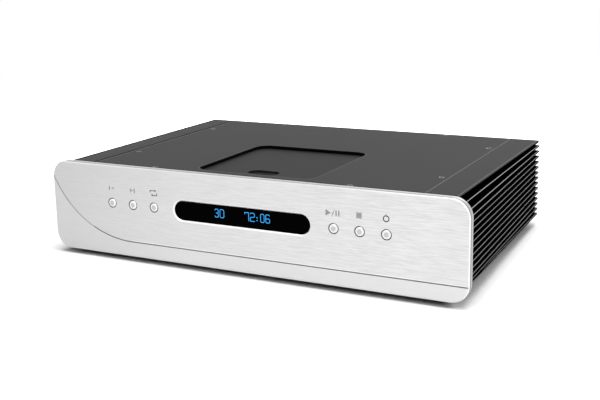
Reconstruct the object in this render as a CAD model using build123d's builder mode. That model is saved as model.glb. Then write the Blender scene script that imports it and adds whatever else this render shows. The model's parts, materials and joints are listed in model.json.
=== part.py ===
from build123d import *
import math
import os

# A full-width compact disc player with a lid that slides back on top of the case.
# Millimetres. +Z is up, the front looks along -Y, and the origin is the middle of the
# footprint on the floor. A "depth" is measured from the front face towards the rear.

# ---- Case ----
PANEL_WIDTH = 440.0
PANEL_HEIGHT = 91.0
PANEL_THICKNESS = 8.0
PANEL_CORNER_R = 17.0
PANEL_EDGE = 0.9
PANEL_LIFT = 5.0             # floor to the lower edge of the front panel
TOP_DROP = 1.6               # the cover lies this much below the top of the panel
BODY_DEPTH = 291.0           # front face to the rear of the side walls
FOOT_HEIGHT = 10.5
COVER_THICKNESS = 3.0
COVER_HALF = 176.5           # middle of the case to the seam at the side
SEAM_GAP = 0.15
BASE_THICKNESS = 2.0
VENT_LENGTH = 60.0
VENT_WIDTH = 3.6
VENT_PITCH_X = 90.0
VENT_PITCH_Y = 14.0
SHEET = 1.5                  # folded steel of the sub-panel and the rear panel
FOLD_LENGTH = 14.0
TAB_LEVEL = 51.0
TAB_HEIGHT = 50.0
FIT_GAP = 0.3                # between folded sheet and what it stands in
FLAT_GAP = 0.1               # between flat faces that slide or stop on each other

# ---- Side walls ----
WALL_THICKNESS = 6.0
FLANGE_THICKNESS = 2.5
FLANGE_REACH = 29.4
FLANGE_EDGE = 0.6
LEDGE_REACH = 13.5
LEDGE_THICKNESS = 4.0
FIN_THICKNESS = 2.4
FIN_PITCH = 5.8
FIN_FIRST_DROP = 6.3         # top of the wall to the middle of the first fin
FIN_REACH = 30.2             # seam to the tip of a fin, at the rear
FIN_INSET = 3.4              # outline of the panel to the tip of a fin, at the front
FIN_TIP = 0.7                # bevel along both edges of a fin's tip

# ---- Front panel details ----
CONTROL_DROP = 37.8          # top of the panel to the row of buttons
WINDOW_WIDTH = 145.0
WINDOW_HEIGHT = 19.0
WINDOW_BEVEL = 1.0
WINDOW_FLANGE = 3.0
WINDOW_FLANGE_THICKNESS = 2.5
WINDOW_FIT = 0.2
BUTTON_INNER_X = 96.0
BUTTON_PITCH = 25.0
BUTTON_HOLE_R = 5.0
BUTTON_R = 4.6
BUTTON_PROUD = 0.6
BUTTON_FLANGE_WIDTH = 12.4
BUTTON_FLANGE_HEIGHT = 6.4
BUTTON_FLANGE_THICKNESS = 1.2
BUTTON_POCKET_DEPTH = 4.0
BUTTON_STEM = 3.0
GROOVE_LIFT = 15.3           # lower edge of the panel to the straight groove
GROOVE_WIDTH = 1.0
GROOVE_DEPTH = 0.5
GROOVE_BEND_X = -124.5
GROOVE_BEND_R = 104.0

# ---- Lid and its opening ----
OPENING_WIDTH = 127.6
OPENING_LENGTH = 135.1
OPENING_DEPTH = 24.3         # front face to the front edge of the opening
OPENING_CORNER_R = 14.5
LID_SINK = 3.5               # top of the cover to the top of the lid
LID_THICKNESS = 4.0
LID_LAP_FRONT = 3.0
LID_LAP_REAR = 2.5
LID_LAP_SIDE = 4.2
BUMPER_LENGTH = 1.4          # rubber between the open lid and the rear panel
RAIL_FRONT_GAP = 6.0
DISC_R = 60.0                # of the disc that the player takes
DISC_ROOM = 1.5              # front edge of the opening to the disc's edge
NOTCH_WIDTH = 32.0
NOTCH_LENGTH = 17.0
NOTCH_FROM_EDGE = 18.7       # front edge of the lid to the front of the notch
NOTCH_SINK = 2.2
RAIL_GAP = 0.3
RAIL_WEB = 2.5
RAIL_FOOT = 3.0
RAIL_FOOT_THICKNESS = 2.0
RAIL_FLANGE = 8.2
RAIL_FLANGE_THICKNESS = 2.0

# ---- Disc well and drive ----
DISC_THICKNESS = 1.2
DISC_LEVEL = 74.0            # underside of a disc on the turntable
WELL_R = 61.75
WELL_WALL = 1.75
WELL_FLOOR_THICKNESS = 2.0
WELL_FLOOR_DROP = 4.0        # underside of the disc to the well's floor
SCOOP_R = 16.0
SCOOP_OUT = 58.0
WELL_HUB_HOLE_R = 19.0
LENS_SLOT_WIDTH = 10.4
DECK_LEVEL = 60.0            # top of the mechanism deck
DECK_THICKNESS = 2.0
DECK_HALF_DEPTH = 48.0
DECK_LEFT = -48.0
DECK_RIGHT = 86.0
POST_INSET = 8.0
POST_HALF = 5.0
DAMPER_SIZE = 10.0
DAMPER_HEIGHT = 5.0
PLATTER_R = 17.0
PLATTER_THICKNESS = 3.0
HUB_BOSS_R = 7.4
HUB_BOSS_HEIGHT = 5.5
SHAFT_R = 1.0
SHAFT_CLEARANCE = 0.1
SPINDLE_MOTOR_R = 13.0
SPINDLE_MOTOR_HEIGHT = 10.0
CLAW_WIDTH = 3.0
CLAW_HEIGHT = 2.4
CLAW_NOSE = 1.0
CLAW_NOSE_HEIGHT = 1.0
CLAW_CLEARANCE = 0.3
CLAW_LENGTH = 4.0
CLAW_PROUD = 0.7
CLAW_TRAVEL = 0.8
LENS_INNER = 24.0            # spindle to the lens at the first track
LENS_OUTER = 57.0            # and at the last
LENS_R = 3.5
LENS_BELOW_DISC = 2.4
LENS_BASE = 12.0
LENS_BASE_THICKNESS = 2.4
LENS_GAP = 0.4
SLED_LENGTH = 26.0
SLED_WIDTH = 36.0
SLED_BOTTOM = 62.6
SLED_THICKNESS = 4.4
ROD_R = 1.5
ROD_CLEARANCE = 0.1
ROD_OFFSET = 15.0
ROD_LEVEL = 65.0
BRACKET_LENGTH = 4.0
BRACKET_WIDTH = 5.2
GEAR_MODULE = 1.0
ADDENDUM = 0.8               # stub teeth, in modules
DEDENDUM = 1.05
PRESSURE_ANGLE = 20.0
BACKLASH = 0.16
PINION_TEETH = 12
WHEEL_TEETH = 24
SMALL_GEAR_TEETH = 14
RACK_TEETH = 15
RACK_DEPTH = 3.0             # side of the sled to the root of the rack's teeth
WHEEL_X = 40.0               # spindle to the sled gear, across the case
SLED_MOTOR_LENGTH = 16.0
SLED_MOTOR_WIDTH = 12.0
SLED_MOTOR_HEIGHT = 15.0
SHAFT_SEAT = 6.0              # how far a shaft reaches into its motor, and a little more

# ---- Boards, power and sockets ----
BOARD_THICKNESS = 1.6
CONTROL_BOARD_DEPTH = 16.0
CONTROL_BOARD_WIDTH = 318.0
CONTROL_BOARD_HEIGHT = 44.0
TACT_BODY = 6.2
TACT_HEIGHT = 4.5
TACT_BORE = 3.6
TUBE_WIDTH = 140.0
TUBE_HEIGHT = 22.0
TUBE_THICKNESS = 5.6
SPACER_HALF = 2.75
BOARD_LIFT = 8.0
BOARD_WIDTH = 102.0
BOARD_INNER_X = 56.0
SPACER_ROOM = 3.5            # rear panel's flange to the middle of a spacer
TOROID_GAP = 12.0            # toroid to the power board
MAIN_BOARD_LENGTH = 146.0
POWER_BOARD_LENGTH = 110.0
BOARD_HOLE_INSET = 6.0
CAPACITOR_R = 12.5
CAPACITOR_HEIGHT = 30.0
HEAT_SINK_LENGTH = 60.0
HEAT_SINK_HEIGHT = 32.0
TOROID_R = 42.0
TOROID_BORE_R = 14.0
TOROID_HEIGHT = 36.0
TOROID_SIDE_COUNT = 32             # its tape lies in short straight laps
TOROID_X = 115.0
TOROID_DEPTH = 78.0
JACK_REACH = 9.0
JACK_R = 4.15
SOCKET_LEVEL = 45.0
SOCKET_BODY = 12.0
COLLAR_R = 5.0
COLLAR_REACH = 1.0           # collar beyond the rear panel
SOCKET_PIN_HOLE_R = 1.6
LEFT_OUTPUT_X = -100.0
RIGHT_OUTPUT_X = -76.0
COAXIAL_X = -40.0
OPTICAL_X = -14.0
OPTICAL_SIZE = 10.0
OPTICAL_WALL = 1.6
INLET_X = 125.0
INLET_BODY_WIDTH = 27.0
INLET_BODY_HEIGHT = 19.8
INLET_CAVITY_WIDTH = 24.4
INLET_CAVITY_HEIGHT = 16.6
INLET_CAVITY_DEPTH = 16.0
INLET_FLANGE_WIDTH = 50.0
INLET_FLANGE_HEIGHT = 22.6
INLET_FLANGE_THICKNESS = 2.5
INLET_REACH_IN = 23.0
SWITCH_X = 84.0
ROCKER_WIDTH = 12.0
ROCKER_HALF_HEIGHT = 8.2
ROCKER_TILT = 8.0
ROCKER_GAP = 0.4
ROCKER_CROWN = 4.5            # pivot to the top of the rocker's ends
ROCKER_DISH = 3.6
ROCKER_SKIRT = 1.0
ROCKER_BACK = 4.0
ROCKER_BACK_HALF = 3.0
SWITCH_WALL = 1.0
SWITCH_BEZEL = 1.3
SWITCH_BEZEL_THICKNESS = 1.5
SWITCH_REACH_IN = 13.0
ROCKER_PIVOT_IN = 2.0
TRUNNION_R = 1.2

FOOT_R = 19.0
FOOT_X = 150.0
FOOT_INSET = 38.0            # front face or rear to the middle of a foot

# ---- Small dimensions ----
STEM_IN_SWITCH = 1.9
STEM_ROOM = 1.0              # round a button's stem in the sub-panel
DISPLAY_SLOT_TRIM = 4.0      # the sub-panel's slot is this much shorter than the window
OPENING_EDGE = 0.4
LID_EDGE = 0.5
SHELF_THICKNESS = 2.0        # of the well's shelf that hangs under the rails
SCOOP_ANGLE = math.radians(45)
WELL_MARGIN = 5.0
LENS_SLOT_END = 0.2
ROD_END = 3.0                # rod beyond the sled's brackets
DECK_HOLE_ROOM = 0.5
BLOCK_ROOM = 1.0
GEAR_LIFT = 0.4              # deck to the underside of the wheel
WHEEL_THICKNESS = 1.6
RACK_RISE = 1.0              # the rack's bar ends this much below the sled's top
SHAFT_END_ROOM = 0.5
CLAW_ABOVE_DISC = 1.0
LENS_FLOAT = 0.2
BOARD_RELIEF = 0.6
TUBE_EDGE = 0.8
CONTROL_SPACER_INSET_X = 6.0
CONTROL_SPACER_INSET_Z = 4.0
CHIP = 20.0
SMALL_CHIP_LENGTH = 10.0
SMALL_CHIP_WIDTH = 16.0
CHIP_PITCH_X = 56.0
CHIP_PITCH_Y = 70.0
CHIP_HEIGHT = 2.4
CAPACITOR_OFFSET_X = 12.0
CAPACITOR_OFFSET_Y = -24.0
CAPACITOR_GAP = 6.0
HEAT_SINK_OFFSET_Y = 30.0
SINK_FIN_THICKNESS = 1.6
SINK_FIN_LENGTH = 16.0
CLAMP_THICKNESS = 2.0
CLAMP_WIDTH = 16.0
CLAMP_BOLT_R = 3.0
CLAMP_NUT_HALF = 5.0
CLAMP_NUT_HEIGHT = 4.0
JACK_ROOM = 0.3
SWITCH_ROOM = 1.1
OPTICAL_REACH = 2.0
OPTICAL_RIM = 1.5
OPTICAL_BODY = 12.0
OPTICAL_CAVITY = 11.0
HEX_SIDE_COUNT = 6
DECK_CORNER_R = 6.0
INLET_CORNER_R = 4.0
INLET_PIN_X = 7.0
INLET_PIN_DROP = 1.6
INLET_EARTH_RISE = 2.4
INLET_PIN_WIDTH = 2.0
INLET_PIN_HEIGHT = 4.0
INLET_PIN_BACK = 1.0

# ---- What follows from them ----
FACE_Y = BUTTON_PROUD - (BODY_DEPTH + JACK_REACH + BUTTON_PROUD) / 2
PANEL_MIDDLE = PANEL_LIFT + PANEL_HEIGHT / 2
PANEL_TOP = PANEL_LIFT + PANEL_HEIGHT
BODY_TOP = PANEL_TOP - TOP_DROP
COVER_UNDERSIDE = BODY_TOP - COVER_THICKNESS
FLOOR_LEVEL = FOOT_HEIGHT + BASE_THICKNESS
CONTROL_LEVEL = PANEL_TOP - CONTROL_DROP
WALL_LENGTH = BODY_DEPTH - PANEL_THICKNESS
FIN_COUNT = int((BODY_TOP - FIN_FIRST_DROP - FOOT_HEIGHT - FIN_THICKNESS / 2) / FIN_PITCH) + 1
REAR_INSIDE = BODY_DEPTH - SHEET
SUB_PANEL_REAR = PANEL_THICKNESS + SHEET
COVER_X = COVER_HALF - SEAM_GAP
LID_TOP = BODY_TOP - LID_SINK
LID_BOTTOM = LID_TOP - LID_THICKNESS
LID_HALF = OPENING_WIDTH / 2 + LID_LAP_SIDE
LID_FRONT = OPENING_DEPTH - LID_LAP_FRONT
LID_LENGTH = OPENING_LENGTH + LID_LAP_FRONT + LID_LAP_REAR
LID_TRAVEL = REAR_INSIDE - LID_FRONT - LID_LENGTH - BUMPER_LENGTH - 2 * FLAT_GAP
DISC_DEPTH = OPENING_DEPTH + DISC_ROOM + DISC_R
RAIL_WEB_X = LID_HALF + RAIL_GAP
RAIL_BOTTOM = LID_BOTTOM - FLAT_GAP - RAIL_FOOT_THICKNESS
RAIL_FOOT_X = RAIL_WEB_X - RAIL_FOOT
RAIL_OUTER_X = RAIL_WEB_X + RAIL_WEB + RAIL_FLANGE
RAIL_FRONT = PANEL_THICKNESS + SHEET + RAIL_FRONT_GAP
RAIL_LENGTH = REAR_INSIDE - FLAT_GAP - RAIL_FRONT
BUTTON_XS = [side * (BUTTON_INNER_X + BUTTON_PITCH * i) for side in (-1, 1) for i in range(3)]
BUTTON_NAMES = [
    "button_repeat", "button_next", "button_previous", "button_play", "button_stop", "button_power"
]
SPACER_SPAN_X = CONTROL_BOARD_WIDTH - 2 * CONTROL_SPACER_INSET_X
SPACER_SPAN_Z = CONTROL_BOARD_HEIGHT - 2 * CONTROL_SPACER_INSET_Z
MOUTH_FOLD_X = RAIL_OUTER_X + 3.0
FOLD_END_X = COVER_HALF - LEDGE_REACH - FIT_GAP - 0.5
FOOT_SPOTS = [
    (x, FACE_Y + depth) for x in (-FOOT_X, FOOT_X) for depth in (FOOT_INSET, BODY_DEPTH - FOOT_INSET)
]


def facing(depth):
    """An upright plane at a depth behind the front face, looking forwards, with its y axis up."""
    return Plane.XZ.offset(-(FACE_Y + depth))


def level(height):
    return Plane.XY.offset(height)


def standing_on(x, y, height=0.0):
    """A plane for the half profile of something turned about an upright axis."""
    return Plane(origin=(x, y, height), x_dir=(1, 0, 0), z_dir=(0, -1, 0))


def upright_axis(x, y):
    return Axis((x, y, 0), (0, 0, 1))


def save(builder, node):
    builder.part.label = node
    export_step(builder.part, f"parts/{node}.step")


os.makedirs("parts", exist_ok=True)

# ---- Front panel: a thick plate with a bevelled window slot, button holes and a groove ----
with BuildPart() as front_panel:
    with BuildSketch(facing(PANEL_THICKNESS)):
        with Locations((0, PANEL_MIDDLE)):
            RectangleRounded(PANEL_WIDTH, PANEL_HEIGHT, PANEL_CORNER_R)
    extrude(amount=PANEL_THICKNESS)
    chamfer(front_panel.faces().sort_by(Axis.Y)[0].edges(), PANEL_EDGE)
    with BuildSketch(facing(PANEL_THICKNESS)):
        with Locations((0, CONTROL_LEVEL)):
            SlotOverall(WINDOW_WIDTH, WINDOW_HEIGHT)
    extrude(amount=PANEL_THICKNESS, mode=Mode.SUBTRACT)
    chamfer(front_panel.faces().sort_by(Axis.Y)[0].inner_wires()[0].edges(), WINDOW_BEVEL)
    with BuildSketch(facing(PANEL_THICKNESS)):
        with Locations((0, CONTROL_LEVEL)):
            Rectangle(WINDOW_WIDTH + 2 * WINDOW_FLANGE, WINDOW_HEIGHT + 2 * WINDOW_FLANGE)
    extrude(amount=WINDOW_FLANGE_THICKNESS, mode=Mode.SUBTRACT)
    with BuildSketch(facing(PANEL_THICKNESS)):
        with Locations(*[(x, CONTROL_LEVEL) for x in BUTTON_XS]):
            Circle(BUTTON_HOLE_R)
    extrude(amount=PANEL_THICKNESS, mode=Mode.SUBTRACT)
    with BuildSketch(facing(PANEL_THICKNESS)):
        with Locations(*[(x, CONTROL_LEVEL) for x in BUTTON_XS]):
            Rectangle(BUTTON_FLANGE_WIDTH + 2 * FIT_GAP, BUTTON_FLANGE_HEIGHT + 2 * FIT_GAP)
    extrude(amount=BUTTON_POCKET_DEPTH, mode=Mode.SUBTRACT)
    with BuildSketch(facing(GROOVE_DEPTH)):
        with BuildLine():
            Line((PANEL_WIDTH, PANEL_LIFT + GROOVE_LIFT), (GROOVE_BEND_X, PANEL_LIFT + GROOVE_LIFT))
            CenterArc(
                (GROOVE_BEND_X, PANEL_LIFT + GROOVE_LIFT + GROOVE_BEND_R), GROOVE_BEND_R, 270, -75
            )
        trace(line_width=GROOVE_WIDTH)
    extrude(amount=GROOVE_DEPTH, mode=Mode.SUBTRACT)
save(front_panel, "front_panel")

# ---- Display window: a pane whose nose fills the slot and whose flange sits behind it ----
WINDOW_FLANGE_FRONT = PANEL_THICKNESS - WINDOW_FLANGE_THICKNESS
with BuildPart() as display_window:
    with BuildSketch(facing(WINDOW_FLANGE_FRONT)):
        with Locations((0, CONTROL_LEVEL)):
            SlotOverall(WINDOW_WIDTH - 2 * WINDOW_FIT, WINDOW_HEIGHT - 2 * WINDOW_FIT)
    extrude(amount=WINDOW_FLANGE_FRONT - WINDOW_BEVEL)
    with BuildSketch(facing(PANEL_THICKNESS)):
        with Locations((0, CONTROL_LEVEL)):
            Rectangle(
                WINDOW_WIDTH + 2 * (WINDOW_FLANGE - WINDOW_FIT),
                WINDOW_HEIGHT + 2 * (WINDOW_FLANGE - WINDOW_FIT),
            )
    extrude(amount=WINDOW_FLANGE_THICKNESS)
save(display_window, "display_window")


# ---- Buttons: a bevelled crown, a keyed flange in the panel's pocket and a stem ----
def push_button(x):
    pocket_floor = PANEL_THICKNESS - BUTTON_POCKET_DEPTH
    flange_rear = pocket_floor + FLAT_GAP + BUTTON_FLANGE_THICKNESS
    stem_rear = CONTROL_BOARD_DEPTH - TACT_HEIGHT + STEM_IN_SWITCH
    with BuildPart() as button:
        with BuildSketch(facing(flange_rear)):
            with Locations((x, CONTROL_LEVEL)):
                Circle(BUTTON_R)
        extrude(amount=flange_rear + BUTTON_PROUD)
        with BuildSketch(facing(flange_rear)):
            with Locations((x, CONTROL_LEVEL)):
                Rectangle(BUTTON_FLANGE_WIDTH, BUTTON_FLANGE_HEIGHT)
        extrude(amount=BUTTON_FLANGE_THICKNESS)
        with BuildSketch(facing(stem_rear)):
            with Locations((x, CONTROL_LEVEL)):
                Rectangle(BUTTON_STEM, BUTTON_STEM)
        extrude(amount=stem_rear - flange_rear)
    return button


for button_x, button_name in zip(BUTTON_XS, BUTTON_NAMES):
    save(push_button(button_x), button_name)


# ---- Folded plates: the sub-panel behind the front and the rear panel share their form ----
def folded_plate(plate_front, fold_front):
    """A plate notched round the ledges, with flanges at the top, bottom and sides."""
    with BuildPart() as plate:
        with BuildSketch(facing(plate_front + SHEET)):
            with Locations((0, (COVER_UNDERSIDE + FLOOR_LEVEL) / 2)):
                Rectangle(
                    2 * (COVER_HALF - FIT_GAP),
                    COVER_UNDERSIDE - FLOOR_LEVEL - 2 * (LEDGE_THICKNESS + FIT_GAP),
                )
                Rectangle(2 * FOLD_END_X, COVER_UNDERSIDE - FLOOR_LEVEL)
        extrude(amount=SHEET)
        with BuildSketch(facing(fold_front + FOLD_LENGTH)):
            for side in (-1, 1):
                with Locations((side * (MOUTH_FOLD_X + FOLD_END_X) / 2, COVER_UNDERSIDE)):
                    Rectangle(FOLD_END_X - MOUTH_FOLD_X, SHEET, align=(Align.CENTER, Align.MAX))
                with Locations((side * (COVER_HALF - FIT_GAP - SHEET / 2), TAB_LEVEL)):
                    Rectangle(SHEET, TAB_HEIGHT)
            with Locations((0, FLOOR_LEVEL)):
                Rectangle(2 * FOLD_END_X, SHEET, align=(Align.CENTER, Align.MIN))
        extrude(amount=FOLD_LENGTH)
    return plate


with BuildPart() as sub_panel:
    add(folded_plate(PANEL_THICKNESS, SUB_PANEL_REAR).part)
    with BuildSketch(facing(SUB_PANEL_REAR)):
        with Locations((0, CONTROL_LEVEL)):
            SlotOverall(WINDOW_WIDTH - DISPLAY_SLOT_TRIM, WINDOW_HEIGHT)
        with Locations(*[(x, CONTROL_LEVEL) for x in BUTTON_XS]):
            Rectangle(BUTTON_STEM + 2 * STEM_ROOM, BUTTON_STEM + 2 * STEM_ROOM)
    extrude(amount=SHEET, mode=Mode.SUBTRACT)
save(sub_panel, "sub_panel")

# ---- Side walls: an extruded section with a flange and two ledges, and tapering cooling fins ----
def fin(height):
    """A fin that meets the panel inside its rounded outline and draws in towards the rear."""
    to_corner = PANEL_CORNER_R + FIN_INSET - min(PANEL_TOP - height, height - PANEL_LIFT)
    corner_x = PANEL_WIDTH / 2 - FIN_INSET - PANEL_CORNER_R
    front_x = corner_x + math.sqrt(PANEL_CORNER_R**2 - max(to_corner, 0.0) ** 2)
    root_x, rear_x = COVER_HALF + WALL_THICKNESS / 2, COVER_HALF + FIN_REACH
    front_y, rear_y = FACE_Y + PANEL_THICKNESS, FACE_Y + BODY_DEPTH
    with BuildPart() as blade:
        with BuildSketch(level(height - FIN_THICKNESS / 2)):
            with BuildLine():
                Polyline(
                    (root_x, front_y), (front_x, front_y), (rear_x, rear_y), (root_x, rear_y),
                    close=True,
                )
            make_face()
        extrude(amount=FIN_THICKNESS)
        tip = blade.faces().sort_by(Axis.X)[-1]
        chamfer(tip.edges().filter_by(Axis.Z, reverse=True), FIN_TIP)
    return blade


with BuildPart() as side_wall_right:
    with BuildSketch(facing(BODY_DEPTH)):
        with Locations((COVER_HALF, FOOT_HEIGHT)):
            Rectangle(WALL_THICKNESS, BODY_TOP - FOOT_HEIGHT, align=(Align.MIN, Align.MIN))
        with Locations((COVER_HALF, BODY_TOP)):
            Rectangle(FLANGE_REACH, FLANGE_THICKNESS, align=(Align.MIN, Align.MAX))
        with Locations((COVER_HALF, COVER_UNDERSIDE)):
            Rectangle(LEDGE_REACH, LEDGE_THICKNESS, align=(Align.MAX, Align.MAX))
        with Locations((COVER_HALF, FLOOR_LEVEL)):
            Rectangle(LEDGE_REACH, LEDGE_THICKNESS, align=(Align.MAX, Align.MIN))
    extrude(amount=WALL_LENGTH)
    flange_corner = side_wall_right.edges().filter_by(Axis.Y).filter_by(
        lambda edge: abs(edge.center().X - COVER_HALF - FLANGE_REACH) < 0.01
    )
    chamfer(flange_corner, FLANGE_EDGE)
    for i in range(FIN_COUNT):
        add(fin(BODY_TOP - FIN_FIRST_DROP - i * FIN_PITCH).part)
save(side_wall_right, "side_wall_right")

with BuildPart() as side_wall_left:
    mirror(side_wall_right.part, about=Plane.YZ)
save(side_wall_left, "side_wall_left")

# ---- Top cover with the lid's opening ----
with BuildPart() as top_cover:
    with BuildSketch(level(COVER_UNDERSIDE)):
        with Locations((0, FACE_Y + PANEL_THICKNESS)):
            Rectangle(2 * COVER_X, WALL_LENGTH, align=(Align.CENTER, Align.MIN))
    extrude(amount=COVER_THICKNESS)
    with BuildSketch(level(COVER_UNDERSIDE)):
        with Locations((0, FACE_Y + OPENING_DEPTH + OPENING_LENGTH / 2)):
            RectangleRounded(OPENING_WIDTH, OPENING_LENGTH, OPENING_CORNER_R)
    extrude(amount=COVER_THICKNESS, mode=Mode.SUBTRACT)
    opening_rim = top_cover.faces().sort_by(Axis.Z)[-1].inner_wires()[0].edges()
    chamfer(opening_rim, OPENING_EDGE)
save(top_cover, "top_cover")


# ---- Base plate with vents ----
with BuildPart() as base_plate:
    with BuildSketch(level(FOOT_HEIGHT)):
        with Locations((0, FACE_Y + PANEL_THICKNESS)):
            Rectangle(2 * COVER_X, WALL_LENGTH, align=(Align.CENTER, Align.MIN))
        with Locations((0, FACE_Y + BODY_DEPTH / 2)):
            with GridLocations(VENT_PITCH_X, VENT_PITCH_Y, 3, 9):
                Rectangle(VENT_LENGTH, VENT_WIDTH, mode=Mode.SUBTRACT)
    extrude(amount=BASE_THICKNESS)
save(base_plate, "base_plate")


# ---- Feet: plain rubber discs ----
with BuildPart() as feet:
    with BuildSketch(level(FOOT_HEIGHT)):
        with Locations(*FOOT_SPOTS):
            Circle(FOOT_R)
    extrude(amount=-FOOT_HEIGHT)
save(feet, "feet")

# ---- Lid: a plate in two rails, with a sunk finger notch ----
NOTCH_DEPTH = LID_FRONT + NOTCH_FROM_EDGE + NOTCH_LENGTH / 2
with BuildPart() as lid:
    with BuildSketch(level(LID_BOTTOM)):
        with Locations((0, FACE_Y + LID_FRONT + LID_LENGTH / 2)):
            Rectangle(2 * LID_HALF, LID_LENGTH)
    extrude(amount=LID_THICKNESS)
    chamfer(lid.faces().sort_by(Axis.Z)[-1].edges(), LID_EDGE)
    with BuildSketch(level(LID_TOP)):
        with Locations((0, FACE_Y + NOTCH_DEPTH)):
            SlotOverall(NOTCH_WIDTH, NOTCH_LENGTH)
    extrude(amount=-NOTCH_SINK, mode=Mode.SUBTRACT)
save(lid, "lid")

with BuildPart() as lid_rail_right:
    with BuildSketch(facing(RAIL_FRONT + RAIL_LENGTH)):
        with Locations((RAIL_WEB_X, COVER_UNDERSIDE)):
            Rectangle(RAIL_WEB, COVER_UNDERSIDE - RAIL_BOTTOM, align=(Align.MIN, Align.MAX))
            Rectangle(RAIL_WEB + RAIL_FLANGE, RAIL_FLANGE_THICKNESS, align=(Align.MIN, Align.MAX))
        with Locations((RAIL_FOOT_X, RAIL_BOTTOM)):
            Rectangle(RAIL_FOOT + RAIL_WEB, RAIL_FOOT_THICKNESS, align=(Align.MIN, Align.MIN))
    extrude(amount=RAIL_LENGTH)
save(lid_rail_right, "lid_rail_right")

with BuildPart() as lid_rail_left:
    mirror(lid_rail_right.part, about=Plane.YZ)
save(lid_rail_left, "lid_rail_left")

LID_OPEN_REAR = LID_FRONT + LID_LENGTH + LID_TRAVEL
with BuildPart() as lid_bumpers:
    for start, end in (
        (RAIL_FRONT, LID_FRONT - FLAT_GAP), (LID_OPEN_REAR + FLAT_GAP, REAR_INSIDE - FLAT_GAP)
    ):
        with BuildSketch(level(LID_BOTTOM - FLAT_GAP)):
            for side in (-1, 1):
                with Locations((side * (RAIL_FOOT_X + RAIL_WEB_X) / 2, FACE_Y + start)):
                    Rectangle(RAIL_FOOT - FLAT_GAP, end - start, align=(Align.CENTER, Align.MIN))
        extrude(amount=LID_THICKNESS)
save(lid_bumpers, "lid_bumpers")

# ---- Disc well: a tub hung under the rails, with finger scoops, a hub hole and a lens slot ----
WELL_RIM = LID_BOTTOM - 2 * FIT_GAP
WELL_SHELF = RAIL_BOTTOM - SHELF_THICKNESS
WELL_FLOOR = DISC_LEVEL - WELL_FLOOR_DROP
DISC_Y = FACE_Y + DISC_DEPTH
SCOOP_SPOTS = [
    (side * SCOOP_OUT * math.cos(SCOOP_ANGLE), DISC_Y + side * SCOOP_OUT * math.sin(SCOOP_ANGLE))
    for side in (-1, 1)
]
with BuildPart() as disc_well:
    with BuildSketch(level(WELL_SHELF)):
        with Locations((0, DISC_Y)):
            Rectangle(2 * RAIL_OUTER_X, 2 * (WELL_R + WELL_MARGIN))
    extrude(amount=RAIL_BOTTOM - WELL_SHELF)
    with BuildSketch(level(WELL_SHELF)):
        with Locations((0, DISC_Y)):
            Rectangle(2 * (RAIL_FOOT_X - FIT_GAP), 2 * (WELL_R + WELL_MARGIN))
    extrude(amount=WELL_RIM - WELL_SHELF)
    with BuildSketch(level(WELL_FLOOR - WELL_FLOOR_THICKNESS)):
        with Locations((0, DISC_Y)):
            Rectangle(2 * (WELL_R + WELL_WALL), 2 * (WELL_R + WELL_WALL))
    extrude(amount=WELL_SHELF - WELL_FLOOR + WELL_FLOOR_THICKNESS)
    with BuildSketch(level(WELL_FLOOR)):
        with Locations((0, DISC_Y)):
            Circle(WELL_R)
        with Locations(*SCOOP_SPOTS):
            Circle(SCOOP_R)
    extrude(amount=WELL_RIM - WELL_FLOOR, mode=Mode.SUBTRACT)
    with BuildSketch(level(WELL_FLOOR)):
        with Locations((0, DISC_Y)):
            Circle(WELL_HUB_HOLE_R)
            Rectangle(WELL_R - LENS_SLOT_END, LENS_SLOT_WIDTH, align=(Align.MIN, Align.CENTER))
    extrude(amount=-WELL_FLOOR_THICKNESS, mode=Mode.SUBTRACT)
save(disc_well, "disc_well")

# ---- Mechanism deck on four rubber pads ----
DECK_BOTTOM = DECK_LEVEL - DECK_THICKNESS
POST_SPOTS = [
    (x, DISC_Y + y)
    for x in (DECK_LEFT + POST_INSET, DECK_RIGHT - POST_INSET)
    for y in (-DECK_HALF_DEPTH + POST_INSET, DECK_HALF_DEPTH - POST_INSET)
]
SMALL_GEAR_R = GEAR_MODULE * SMALL_GEAR_TEETH / 2
WHEEL_R = GEAR_MODULE * WHEEL_TEETH / 2
PINION_R = GEAR_MODULE * PINION_TEETH / 2
RACK_LINE = DISC_Y + SLED_WIDTH / 2 + RACK_DEPTH + DEDENDUM * GEAR_MODULE
WHEEL_Y = RACK_LINE + SMALL_GEAR_R
PINION_X = WHEEL_X - WHEEL_R - PINION_R
WHEEL_BOTTOM = DECK_LEVEL + GEAR_LIFT
SLED_TOP = SLED_BOTTOM + SLED_THICKNESS
ROD_INNER_X = LENS_INNER - SLED_LENGTH / 2 - BRACKET_LENGTH - ROD_END
ROD_OUTER_X = LENS_OUTER + SLED_LENGTH / 2 + BRACKET_LENGTH + ROD_END
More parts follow.
